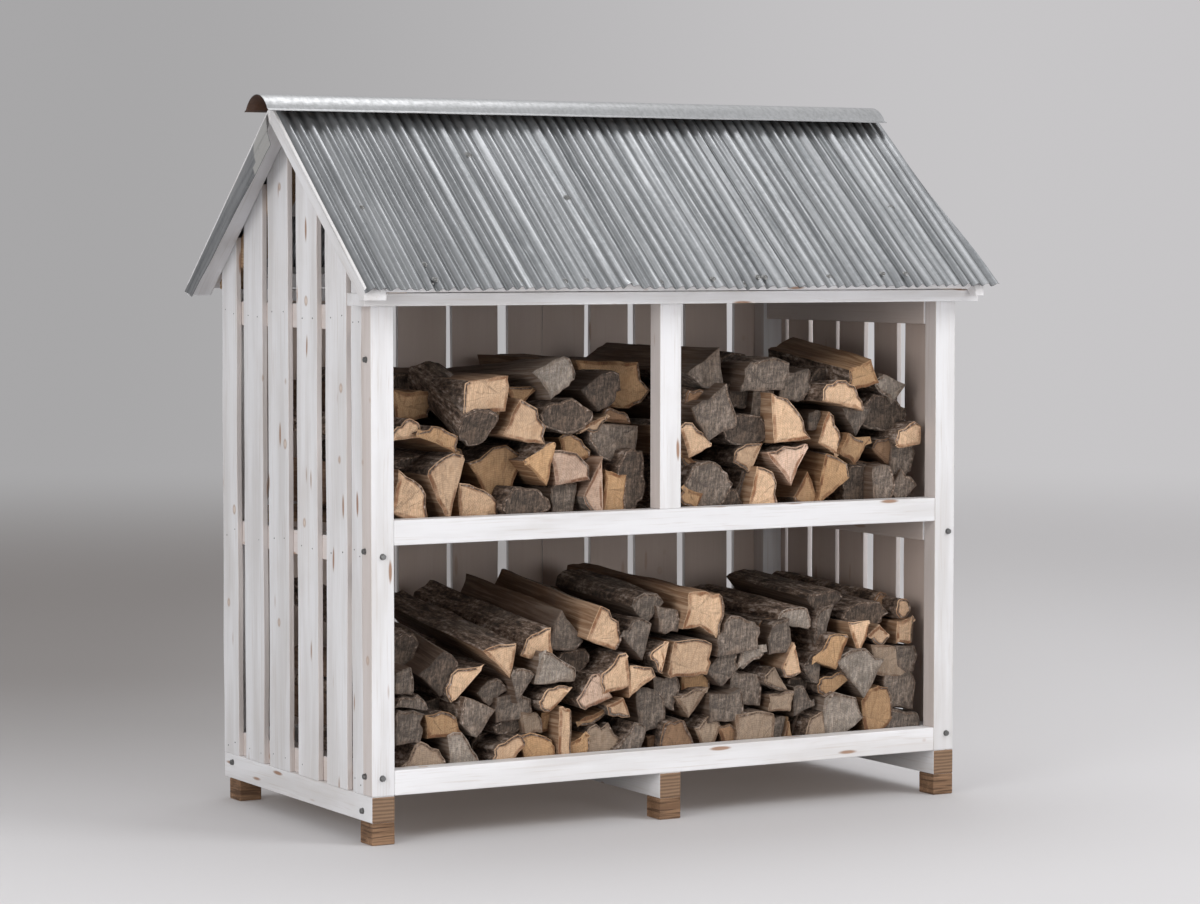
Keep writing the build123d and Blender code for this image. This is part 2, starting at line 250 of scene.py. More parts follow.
def sawnEnd(tree, vector):
    # Bare cut end: curved year rings
    rings = addNode(tree, "ShaderNodeTexWave", wave_type="BANDS", bands_direction="Z")
    feed(tree, rings.inputs["Vector"], stretched(tree, vector, (0.25, 0.25, 1)))
    rings.inputs["Scale"].default_value = 46
    rings.inputs["Distortion"].default_value = 3.5
    rings.inputs["Detail"].default_value = 3
    return blendColours(tree, times(tree, rings.outputs["Fac"], 0.75), paint["sawnEnd"],
                        paint["sawnEndDark"])


def paintedTimber(name, turn):
    material, tree, shader = newMaterial(name, 0.62)
    vector = objectPoint(tree, turn)
    figure = placeGroup(tree, softwood, Vector=vector)
    dirt = placeGroup(tree, grime, Vector=vector)
    broad = remap(tree, figure.outputs["Broad"], 0.35, 0.68)
    colour = blendColours(tree, broad, paint["bright"], paint["dull"])
    lines = times(tree, remap(tree, figure.outputs["Grain"], 0.52, 0.75), 0.42)
    colour = blendColours(tree, lines, colour, paint["line"])
    knotColour = blendColours(tree, figure.outputs["Heart"], paint["heart"], paint["knot"])
    colour = tinted(tree, colour, figure.outputs["Knot"], 0.78, knotColour)
    colour = tinted(tree, colour, figure.outputs["Resin"], 0.9, paint["resin"])
    colour = tinted(tree, colour, dirt.outputs["Blotch"], 0.16, paint["line"])
    # painted shade: faces marked as lying in shade turn warm and darker
    colour = tinted(tree, colour, attributeOf(tree, "inside"), 0.8, paint["paintedShadeWarm"])
    colour = levelled(tree, colour, plus(tree, times(tree, attributeOf(tree, "tone"), 0.12), 0.92))
    plain = addNode(tree, "ShaderNodeTexCoord").outputs["Object"]
    colour = blendColours(tree, attributeOf(tree, "bare"), colour, sawnEnd(tree, plain))
    feed(tree, shader.inputs["Base Color"], colour)
    feed(tree, shader.inputs["Roughness"], remap(tree, figure.outputs["Grain"], 0.3, 0.8, 0.52, 0.74))
    height = plus(tree, times(tree, figure.outputs["Grain"], 0.8),
                       times(tree, figure.outputs["Knot"], 0.5))
    addBump(tree, shader, height, 0.0006, 0.55)
    return material


bareWood = {
    "pale": (0.42, 0.29, 0.18, 1),
    "deep": (0.30, 0.19, 0.11, 1),
    "footPale": (0.31, 0.18, 0.10, 1),
    "footDeep": (0.18, 0.095, 0.047, 1),
    "sawLines": 0.8,
}


def darkened(colour, red, green, blue):
    return colour[0] * red, colour[1] * green, colour[2] * blue, 1


def bareTimber(name, turn, pale, deep, sawLines=0.0):
    material, tree, shader = newMaterial(name, 0.75)
    vector = objectPoint(tree, turn)
    figure = placeGroup(tree, softwood, Vector=vector)
    dirt = placeGroup(tree, grime, Vector=vector)
    colour = blendColours(tree, remap(tree, figure.outputs["Broad"], 0.35, 0.65), pale, deep)
    grain = remap(tree, figure.outputs["Grain"], 0.45, 0.7)
    colour = tinted(tree, colour, grain, 0.6, darkened(deep, 0.5, 0.45, 0.4))
    colour = tinted(tree, colour, dirt.outputs["Blotch"], 0.3, darkened(deep, 0.6, 0.6, 0.6))
    height = figure.outputs["Grain"]
    if sawLines:
        saw = noiseOf(tree, stretched(tree, vector, (9, 9, 260)), 1.0, 3.0, 0.65)
        line = times(tree, remap(tree, saw, 0.5, 0.66), sawLines)
        colour = blendColours(tree, line, colour, darkened(deep, 0.4, 0.35, 0.3))
        height = minus(tree, height, times(tree, line, 1.5))
    feed(tree, shader.inputs["Base Color"], colour)
    addBump(tree, shader, height, 0.0012, 0.9)
    return material


paintedAlong = {axis: paintedTimber("paintedTimber" + axis, turn) for axis, turn in grainTurns.items()}
pitch = math.radians(39.8)
paintedAlong["frontSlope"] = paintedTimber("paintedTimberFrontSlope", (-pitch, 0, math.radians(90)))
paintedAlong["backSlope"] = paintedTimber("paintedTimberBackSlope", (pitch, 0, math.radians(90)))
bareAlong = {axis: bareTimber("bareTimber" + axis, turn, bareWood["pale"], bareWood["deep"])
             for axis, turn in grainTurns.items()}
footTimber = bareTimber("footTimber", grainTurns["X"], bareWood["footPale"], bareWood["footDeep"],
                        bareWood["sawLines"])
print("materials for timber ready")


# Timber pieces keep the sizes of the frame and get rounded edges and a slight wander along their length
timberLooks = {
    "boards": {"rounding": 0.0012, "cutEvery": 0.06, "wander": 0.0016, "frequency": 6.0},
    "framing": {"rounding": 0.0018, "cutEvery": 0.12, "wander": 0.0005, "frequency": 4.0},
    "blocks": {"rounding": 0.0022, "cutEvery": 0.02, "wander": 0.0007, "frequency": 30.0},
}


def partsOf(bm):
    # The loose parts of a mesh, each a list of faces, in the same order each run
    left = set(bm.faces)
    parts = []
    for first in bm.faces:
        if first not in left:
            continue
        left.remove(first)
        reached = [first]
        part = [first]
        while reached:
            face = reached.pop()
            for edge in face.edges:
                for other in edge.link_faces:
                    if other in left:
                        left.remove(other)
                        reached.append(other)
                        part.append(other)
        parts.append(part)
    corners = lambda part: min(tuple(round(c, 4) for c in vert.co) for face in part for vert in face.verts)
    return sorted(parts, key=corners)


def cutAcross(bm, point, normal, clearOuter=False):
    bmesh.ops.bisect_plane(bm, geom=bm.verts[:] + bm.edges[:] + bm.faces[:], plane_co=point, plane_no=normal,
                           clear_outer=clearOuter)


def addPiece(name, bm, materials, nodeName=None):
    mesh = bpy.data.meshes.new(name)
    bm.to_mesh(mesh)
    bm.free()
    for material in materials:
        mesh.materials.append(material)
    piece = bpy.data.objects.new(name, mesh)
    scene.collection.objects.link(piece)
    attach(piece, "root")
    if nodeName:
        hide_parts(nodeName)
    return piece


def mergedCopy(nodeName):
    bm = bmesh.new()
    bm.from_mesh(nodes[nodeName].data)
    bmesh.ops.remove_doubles(bm, verts=bm.verts[:], dist=1e-5)
    bmesh.ops.dissolve_limit(bm, angle_limit=math.radians(1), verts=bm.verts[:], edges=bm.edges[:])
    return bm


def dressTimber(nodeName, axis, look, material, bareEnds=0.0, shadedFacing=()):
    # A copy of a frame node with rounded edges, cut across and shifted a little along its length
    bm = mergedCopy(nodeName)
    sharp = [edge for edge in bm.edges if edge.is_manifold and edge.calc_face_angle() > 0.6]
    bmesh.ops.bevel(bm, geom=sharp, offset=look["rounding"], segments=2, profile=0.5, affect="EDGES",
                    material=-1, clamp_overlap=True)
    low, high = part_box(nodeName)
    steps = max(1, round((high - low)[axis] / look["cutEvery"]))
    across = Vector([1.0 if i == axis else 0.0 for i in range(3)])
    for step in range(1, steps):
        point = low + across * ((high - low)[axis] * step / steps)
        cutAcross(bm, point, across)
    bm.faces.ensure_lookup_table()
    tone = bm.faces.layers.float.new("tone")
    bare = bm.faces.layers.float.new("bare")
    inside = bm.faces.layers.float.new("inside")
    shifts = {}
    own = random.Random(nodeName)
    for part in partsOf(bm):
        value = own.random()
        seed = Vector((own.uniform(-50, 50), own.uniform(-50, 50), own.uniform(-50, 50)))
        for face in part:
            face[tone] = value
            face[bare] = bareEnds if abs(face.normal[axis]) > 0.8 else 0.0
            # painted shade: the share of the warm shade colour that this face gets
            face[inside] = max([0.0] + [share for way, share in shadedFacing if face.normal.dot(Vector(way)) > 0.7])
            for vert in face.verts:
                shifts[vert] = seed
    for vert, seed in shifts.items():
        shift = noise.noise_vector(vert.co * look["frequency"] + seed) * look["wander"]
        shift[axis] = 0
        vert.co += shift
        vert.co.z = max(vert.co.z, 0.0)
    addPiece(nodeName + "_timber", bm, [material], nodeName)


def dressFrame():
    # painted shade: faces that look into the store, face down or show through the gaps, and the boards' edges,
    # get a warm darker colour for the shade and bounce light there
    postSides = (((-1, 0, 0), 0.55), ((0, 1, 0), 0.7))
    framing = timberLooks["framing"]
    boards = timberLooks["boards"]
    for corner in ("front_left", "front_right", "back_left", "back_right", "front_middle"):
        dressTimber("post_" + corner, 2, framing, paintedAlong["Z"], shadedFacing=postSides)
    for rail in ("rail_front_bottom", "rail_front_middle", "rail_back_bottom", "rail_back_middle",
                 "eave_plate_front", "eave_plate_back"):
        dressTimber(rail, 0, framing, paintedAlong["X"])
    for column in ("left", "middle", "right"):
        dressTimber("bearer_" + column, 1, framing, paintedAlong["Y"], 1.0)
        for row in ("front", "back"):
            dressTimber(f"foot_{row}_{column}", 0, timberLooks["blocks"], footTimber)
    for side in ("left", "right"):
        inner = (1, 0, 0) if side == "left" else (-1, 0, 0)
        dressTimber("side_rails_" + side, 1, framing, paintedAlong["Y"],
                    shadedFacing=((inner, 0.8), ((0, 0, -1), 0.8), ((-inner[0], 0, 0), 0.55)))
        dressTimber(side + "_wall_boards", 2, boards, paintedAlong["Z"],
                    shadedFacing=((inner, 1.0), ((0, -1, 0), 0.45), ((0, 1, 0), 0.45)))
        dressTimber("rafters_" + side, 1, framing, bareAlong["Y"])
        for row in ("front", "back"):
            dressTimber(f"barge_{side}_{row}", 1, framing, paintedAlong[row + "Slope"])
    dressTimber("back_wall_boards", 2, boards, paintedAlong["Z"],
                shadedFacing=(((0, -1, 0), 1.0), ((1, 0, 0), 0.3), ((-1, 0, 0), 0.3)))
    dressTimber("shelf_boards", 1, boards, bareAlong["Y"])
    dressTimber("floor_boards", 0, boards, bareAlong["X"])
    dressTimber("shelf_ledgers", 0, framing, bareAlong["X"])
    dressTimber("ridge_board", 0, framing, bareAlong["X"])
    for row in ("front", "back"):
        dressTimber("battens_" + row, 0, framing, paintedAlong["X"])


dressFrame()
print("timber done")


# Galvanised roof
roof = {
    "apex": 1.38839,
    "pitch": pitch,
    "top": 0.024,
    "bottom": 0.5548,
    "crestEvery": 0.023,
    "height": 0.0042,
    "thickness": 0.0008,
    "leftSheet": (-0.6865, 0.2565),
    "rightSheet": (0.2335, 0.7165),
    "rightEnd": ((0.6905, 0.0), (0.7140, 0.5558)),  # x and distance from the apex
    "lapLift": 0.0014,
    "flapPlace": -0.6905,  # the back sheet is bent down over its barge board here
    "flapSwing": 0.010,  # and so much further out at the top
    "flapDepth": 0.036,
    "turnReach": 0.010,  # the left edge is bent down over this width
    "turnDepth": 0.0105,
    "dulledEdge": 0.38,
    "acrossCuts": 30,
    "perCrest": 12,
}
# each change of the corrugations: how fast it runs across and down the sheet, its own seed, its strength
ripples = {
    "drift": (19, 0.5, 0, 0.42),  # share of a corrugation that a crest may stray
    "strength": (31, 1.5, 9, 0.50),
    "double": (27, 0, 20, 0.46),
    "sag": (5, 7, 4, 0.0011),
    "edge": (34, 0, 30, 0.0018),
}


def slopePoint(row, x, along, lift=0.0):
    side = -1 if row == "front" else 1
    cosine, sine = math.cos(roof["pitch"]), math.sin(roof["pitch"])
    return Vector((x, side * (along * cosine + lift * sine), roof["apex"] - along * sine + lift * cosine))


rowSeeds = {"front": 3.7, "back": 41.2}
dents = {
    "front": [(-0.309, 0.426, 0.011, -0.0038), (-0.132, 0.560, 0.013, 0.006), (-0.541, 0.545, 0.020, -0.0035),
              (0.120, 0.548, 0.018, -0.004), (0.470, 0.552, 0.024, -0.003), (-0.368, 0.549, 0.014, 0.0035),
              (0.33, 0.30, 0.012, -0.0025), (-0.10, 0.19, 0.015, -0.0025)],
    "back": [(0.26, 0.40, 0.014, -0.0035), (-0.42, 0.552, 0.018, 0.004), (0.51, 0.548, 0.020, -0.0035)],
}


def sheetLift(row, x, along):
    # Height of the corrugated sheet over the slope, and how deep in a trough the place lies
    seed = rowSeeds[row]
    change = {name: noise.noise(Vector((x * across, seed + own, along * down))) * strength
              for name, (across, down, own, strength) in ripples.items()}
    phase = 2 * math.pi * (x / roof["crestEvery"] + change["drift"])
    wave = math.cos(phase) * (0.80 + change["strength"]) + change["double"] * math.cos(2 * phase + 0.7)
    lift = wave * roof["height"] + change["sag"]
    for dentX, dentAlong, reach, push in dents[row]:
        distance = ((x - dentX) / reach) ** 2 + ((along - dentAlong) / reach) ** 2
        lift += push * math.exp(-distance)
    edge = max(0.0, (along - 0.50) / 0.056)
    lift += edge * edge * change["edge"]
    turned = max(0.0, 1 - (x - roof["leftSheet"][0]) / roof["turnReach"])
    lift -= turned * turned * roof["turnDepth"]
    return lift, 0.5 - 0.5 * max(-1.0, min(1.0, wave))


def makeSheet(row, side):
    low, high = roof[side + "Sheet"]
    folded = row == "back" and side == "left"
    if folded:
        low = roof["flapPlace"] - roof["flapDepth"]
    top, bottom = roof["top"], roof["bottom"]
    lap = roof["lapLift"] if side == "right" else 0.0
    bm = bmesh.new()
    columns = round((high - low) / roof["crestEvery"] * roof["perCrest"])
    frameIt = Matrix.Translation(((low + high) / 2, (top + bottom) / 2, 0)) @ Matrix.Diagonal(
        (high - low, bottom - top, 1, 1))
    bmesh.ops.create_grid(bm, x_segments=columns, y_segments=roof["acrossCuts"], size=0.5, matrix=frameIt)
    if side == "right":
        first, last = (Vector((x, along, 0)) for x, along in roof["rightEnd"])
        outward = Vector((last.y - first.y, first.x - last.x, 0))
        cutAcross(bm, first, outward, True)
    trough = bm.verts.layers.float.new("trough")
    own = bm.verts.layers.float_vector.new("own")
    seed = rowSeeds[row]
    for vert in bm.verts:
        x, along = vert.co.x, vert.co.y
        nearEdge = max(0.0, (along - 0.51) / (bottom - 0.51))
        ragged = 0.0006 + 0.0012 * noise.noise(Vector((x * 46, seed, 7))) + 0.0010 * noise.noise(
            Vector((x * 9, seed, 8)))
        flap = 0.005 * math.exp(-(((x + 0.132) / 0.02) ** 2)) if row == "front" else 0.0
        if folded:
            x -= roof["flapSwing"] * (1 - along / bottom) * max(0.0, min(1.0, (-0.66 - x) / 0.02))
        fold = roof["flapPlace"] - roof["flapSwing"] * (1 - along / bottom)
        lift, depth = sheetLift(row, max(x, fold) if folded else x, along)
        vert[own] = (x, along, 0)
        if folded and x < fold + 0.012:
            reach = max(0.0, fold - x)
            patch = along - 0.5 * reach + 0.010 * noise.noise(Vector((along * 50, x * 60, seed)))
            if patch < 0.098:  # a pale patch under the cap
                depth = -1.0
            elif reach:
                depth = roof["dulledEdge"]
        if folded and x < fold:
            lift += 0.004 - reach * (1 + 0.12 * noise.noise(Vector((along * 9, seed, 3))))
            along -= 0.7 * reach * max(0.0, (along - 0.45) / (bottom - 0.45))
            x = fold - 0.0006 - 0.05 * reach
        vert[trough] = depth
        vert.co = slopePoint(row, x, along - nearEdge * (max(0.0, ragged) + flap), lift + lap)
    bm.normal_update()
    for edge in bm.edges:
        if edge.is_boundary:
            edge.smooth = False
    outwards = slopePoint(row, 0, 0, 1) - slopePoint(row, 0, 0, 0)
    if sum((face.normal.dot(outwards) for face in bm.faces), 0.0) < 0:
        bmesh.ops.reverse_faces(bm, faces=bm.faces[:])
    nodeName = f"roof_sheet_{row}_{side}"
    piece = addPiece(nodeName + "_zinc", bm, [zincSheet, zincShadedRim], nodeName)
    for polygon in piece.data.polygons:
        polygon.use_smooth = True
    wall = piece.modifiers.new("thickness", "SOLIDIFY")
    wall.thickness = roof["thickness"]
    wall.offset = 0.0
    wall.material_offset_rim = 1


cap = {"cutEvery": 0.02, "sag": 0.0016, "halfWidth": 0.059, "pinch": 0.012}


def makeCap():
    bm = mergedCopy("ridge_cap")
    low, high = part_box("ridge_cap")
    steps = round((high.x - low.x) / cap["cutEvery"])
    for step in range(1, steps):
        cutAcross(bm, (low.x + (high.x - low.x) * step / steps, 0, 0), (1, 0, 0))
    rust = bm.faces.layers.float.new("rust")
    middle = Vector((0, 0, high.z - 0.09))
    for face in bm.faces:
        centre = face.calc_center_median()
        outwards = Vector((0, centre.y - middle.y, centre.z - middle.z)).normalized()
        face[rust] = 1.0 if face.normal.dot(outwards) < -0.3 else 0.0
    for vert in bm.verts:
        x = vert.co.x
        edge = abs(vert.co.y) / cap["halfWidth"]
        wave = noise.noise(Vector((x * 6, 2, 0))) * 0.6 + noise.noise(Vector((x * 21, 5, vert.co.y * 6))) * 0.4
        vert.co.z -= cap["sag"] * (0.5 + 0.5 * wave) * (0.3 + 0.9 * edge * edge)
        vert.co.y *= 1 - cap["pinch"] * (0.5 + 0.5 * noise.noise(Vector((x * 4, 11, 0))))
    addPiece("ridge_cap_zinc", bm, [zincCap], "ridge_cap")


galvanised = {
    "sheet": ((0.21, 0.22, 0.23, 1), (0.45, 0.46, 0.475, 1)),
    "cap": ((0.32, 0.325, 0.33, 1), (0.45, 0.455, 0.465, 1)),
    # painted shade: the sheets' cut rims are dark so that they catch no light
    "edge": ((0.07, 0.07, 0.07, 1), (0.14, 0.14, 0.14, 1)),
    "trough": (0.145, 0.15, 0.155, 1),
    "patch": (0.86, 0.85, 0.81, 1),
    "rust": (0.045, 0.021, 0.013, 1),
    "rustPale": (0.12, 0.062, 0.038, 1),
}


def buildZinc():
    # Zinc crystals, streaks down the slope and spots
    group, vector, gives = newGroup("zincFigure", "Crystals", "Streaks", "Spots")
    cells = addNode(group, "ShaderNodeTexVoronoi")
    feed(group, cells.inputs["Vector"], vector)
    cells.inputs["Scale"].default_value = 95
    split = addNode(group, "ShaderNodeSeparateColor")
    group.links.new(cells.outputs["Color"], split.inputs["Color"])
    feed(group, gives["Crystals"], split.outputs[0])
    feed(group, gives["Streaks"], noiseOf(group, stretched(group, vector, (120, 3.5, 120)), 1.0, 4.0, 0.6))
    feed(group, gives["Spots"], remap(group, noiseOf(group, vector, 46.0, 3.0, 0.6), 0.62, 0.74))
    return group


zincFigure = buildZinc()


def zincMaterial(name, kind):
    material, tree, shader = newMaterial(name, 0.42, 0.2)
    vector = objectPoint(tree) if kind == "cap" else attributeOf(tree, "own", "Vector")
    figure = placeGroup(tree, zincFigure, Vector=vector)
    dirt = placeGroup(tree, grime, Vector=vector)
    shine = plus(tree, times(tree, figure.outputs["Crystals"], 0.07),
                      times(tree, figure.outputs["Streaks"], 0.93))
    dull, bright = galvanised[kind]
    colour = blendColours(tree, remap(tree, shine, 0.25, 0.7), dull, bright)
    if kind == "sheet":
        # painted shade and dirt: the troughs of the corrugations are darkened
        trough = remap(tree, attributeOf(tree, "trough"), 0.40, 1.0, 0.0, 0.9)
        colour = blendColours(tree, trough, colour, galvanised["trough"])
        patch = remap(tree, attributeOf(tree, "trough"), -0.2, -0.6)
        colour = blendColours(tree, patch, colour, galvanised["patch"])
    colour = tinted(tree, colour, dirt.outputs["Blotch"], 0.25, dull)
    colour = tinted(tree, colour, figure.outputs["Spots"], 0.22, galvanised["trough"])
    if kind == "sheet":  # painted shade: the left end is darker, for the light that falls off to the left
        paintedLeftShade = remap(tree, axesOf(tree, vector)["X"], 0.05, -0.65, 0.0, 0.30)
        colour = blendColours(tree, paintedLeftShade, colour, galvanised["trough"])
    metal = minus(tree, 0.85, times(tree, dirt.outputs["Blotch"], 0.3))
    if kind == "cap":
        rusty = attributeOf(tree, "rust")
        rustColour = blendColours(tree, figure.outputs["Streaks"], galvanised["rust"], galvanised["rustPale"])
        colour = blendColours(tree, rusty, colour, rustColour)
        metal = times(tree, metal, minus(tree, 1.0, rusty))
    feed(tree, shader.inputs["Base Color"], colour)
    if kind != "edge":
        feed(tree, shader.inputs["Metallic"], metal)
    feed(tree, shader.inputs["Roughness"], remap(tree, shine, 0.2, 0.75, 0.46, 0.28))
    addBump(tree, shader, figure.outputs["Streaks"], 0.0004, 0.35)
    return material


zincSheet = zincMaterial("zincSheet", "sheet")
zincCap = zincMaterial("zincCap", "cap")
# painted shade: the rim material is dark so the sheet edges show no light
zincShadedRim = zincMaterial("zincShadedRim", "edge")
for row in ("front", "back"):
    for side in ("left", "right"):
        makeSheet(row, side)
makeCap()
print("roof done")


# Fixings: nails through the sheets, bolts through the frame, nails in the boards
fixings = {
    "nailHead": 0.0046,
    "washer": 0.0080,
    "boltAcross": 0.0100,
    "boltHead": 0.0048,
    "boltWasher": 0.0062,
    "boardNail": 0.0016,
    "frontRoofNails": [(-0.539, 0.481), (-0.536, 0.527), (-0.360, 0.528), (-0.268, 0.531), (-0.221, 0.529),
                       (-0.063, 0.536), (0.060, 0.528), (0.159, 0.528), (0.177, 0.526), (0.123, 0.540),
                       (0.324, 0.527), (0.455, 0.518), (0.506, 0.522), (-0.608, 0.316), (-0.325, 0.161),
                       (-0.160, 0.287), (0.330, 0.200), (0.580, 0.310)],
    "frontBolts": [(-0.617, 0.538), (-0.619, 0.125), (0.652, 0.536), (0.650, 0.125)],
    "sideBolts": [(-0.324, 0.903), (-0.317, 0.547), (-0.316, 0.127), (-0.304, 0.061), (0.302, 0.075)],
}


def darkMetal():
    material, tree, shader = newMaterial("fixingSteel", 0.45, 0.8)
    dirt = placeGroup(tree, grime, Vector=objectPoint(tree))
    colour = blendColours(tree, dirt.outputs["Speckle"], (0.17, 0.17, 0.168, 1), (0.075, 0.068, 0.062, 1))
    feed(tree, shader.inputs["Base Color"], colour)
    feed(tree, shader.inputs["Roughness"], remap(tree, dirt.outputs["Blotch"], 0.0, 1.0, 0.4, 0.7))
    return material


def facing(point, direction):
    # A matrix that puts +Z along direction, at point
    return Matrix.Translation(point) @ direction.to_track_quat("Z", "Y").to_matrix().to_4x4()


def addBolt(bm, point, direction, turn):
    place = facing(point, direction) @ Matrix.Rotation(turn, 4, "Z")
    bmesh.ops.create_cone(bm, cap_ends=True, segments=18, radius1=fixings["boltWasher"],
                          radius2=fixings["boltWasher"] * 0.94, depth=0.0012,
                          matrix=place @ Matrix.Translation((0, 0, 0.0004)))
    head = bmesh.ops.create_cone(bm, cap_ends=True, segments=6, radius1=fixings["boltAcross"] * 0.577,
                                 radius2=fixings["boltAcross"] * 0.55, depth=fixings["boltHead"],
                                 matrix=place @ Matrix.Translation((0, 0, fixings["boltHead"] / 2 + 0.0006)))
    edges = {edge for vert in head["verts"] for edge in vert.link_edges}
    bmesh.ops.bevel(bm, geom=list(edges), offset=0.0006, segments=1, profile=0.5, affect="EDGES", material=-1)


def addRoofNail(bm, row, x, along):
    lift = sheetLift(row, x, along)[0]
    point = slopePoint(row, x, along, lift + 0.0007)
    direction = (slopePoint(row, x, along, 1) - slopePoint(row, x, along, 0)).normalized()
    place = facing(point, direction)
    bmesh.ops.create_cone(bm, cap_ends=True, segments=12, radius1=fixings["washer"],
                          radius2=fixings["washer"] * 0.6, depth=0.0016, matrix=place)
    flattened = Matrix.Translation((0, 0, 0.0006)) @ Matrix.Diagonal((1, 1, 0.5, 1))
    bmesh.ops.create_uvsphere(bm, u_segments=10, v_segments=6, radius=fixings["nailHead"],
                              matrix=place @ flattened)


def boxesOf(nodeName):
    # Lowest and highest corner of each loose part of a frame node
    bm = mergedCopy(nodeName)
    boxes = []
    for part in partsOf(bm):
        points = [vert.co for face in part for vert in face.verts]
        boxes.append((Vector([min(p[i] for p in points) for i in range(3)]),
                      Vector([max(p[i] for p in points) for i in range(3)])))
    bm.free()
    return boxes


def addBoardNails(bm, wall, rails, normal):
    # Two nails in each board at each rail behind it
    across = 1 if abs(normal.x) > 0.5 else 0
    own = random.Random(wall)
    for low, high in boxesOf(wall):
        for railLow, railHigh in rails:
            level = (railLow.z + railHigh.z) / 2
            if not low.z + 0.01 < level < high.z - 0.01:
                continue
            for share in (0.24, 0.76):
                point = (low + high) / 2
                point[across] = low[across] + (high[across] - low[across]) * (share + own.uniform(-0.07, 0.07))
                point[1 - across] = high[1 - across] if normal[1 - across] > 0 else low[1 - across]
                point.z = level + own.uniform(-0.008, 0.008)
                bmesh.ops.create_cone(bm, cap_ends=True, segments=8, radius1=fixings["boardNail"],
                                      radius2=fixings["boardNail"] * 0.8, depth=0.0008,
                                      matrix=facing(point, normal))


def makeFixings():
    steel = darkMetal()
    own = random.Random(8)
    roofNails = bmesh.new()
    for x, along in fixings["frontRoofNails"]:
        addRoofNail(roofNails, "front", x, along)
    for along in (0.527, 0.305, 0.165):
        for step in range(7):
            addRoofNail(roofNails, "back", -0.6 + step * 0.195 + own.uniform(-0.03, 0.03),
                        along + own.uniform(-0.006, 0.006))
    addPiece("roof_nails", roofNails, [steel])
    bolts = bmesh.new()
    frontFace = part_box("post_front_left")[0].y
    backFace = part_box("post_back_left")[1].y
    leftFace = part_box("post_front_left")[0].x
    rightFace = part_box("post_front_right")[1].x
    for x, z in fixings["frontBolts"]:
        addBolt(bolts, Vector((x, frontFace, z)), Vector((0, -1, 0)), own.uniform(0, 1))
        addBolt(bolts, Vector((x, backFace, z)), Vector((0, 1, 0)), own.uniform(0, 1))
    for y, z in fixings["sideBolts"]:
        addBolt(bolts, Vector((leftFace, y, z)), Vector((-1, 0, 0)), own.uniform(0, 1))
        addBolt(bolts, Vector((rightFace, y, z)), Vector((1, 0, 0)), own.uniform(0, 1))
    addPiece("frame_bolts", bolts, [steel])
    boards = bmesh.new()
    addBoardNails(boards, "left_wall_boards", boxesOf("side_rails_left"), Vector((-1, 0, 0)))
    addBoardNails(boards, "right_wall_boards", boxesOf("side_rails_right"), Vector((1, 0, 0)))
    backRails = [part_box(name) for name in ("rail_back_bottom", "rail_back_middle", "eave_plate_back")]
    addBoardNails(boards, "back_wall_boards", backRails, Vector((0, 1, 0)))
    addPiece("board_nails", boards, [steel])


makeFixings()
print("fixings done")


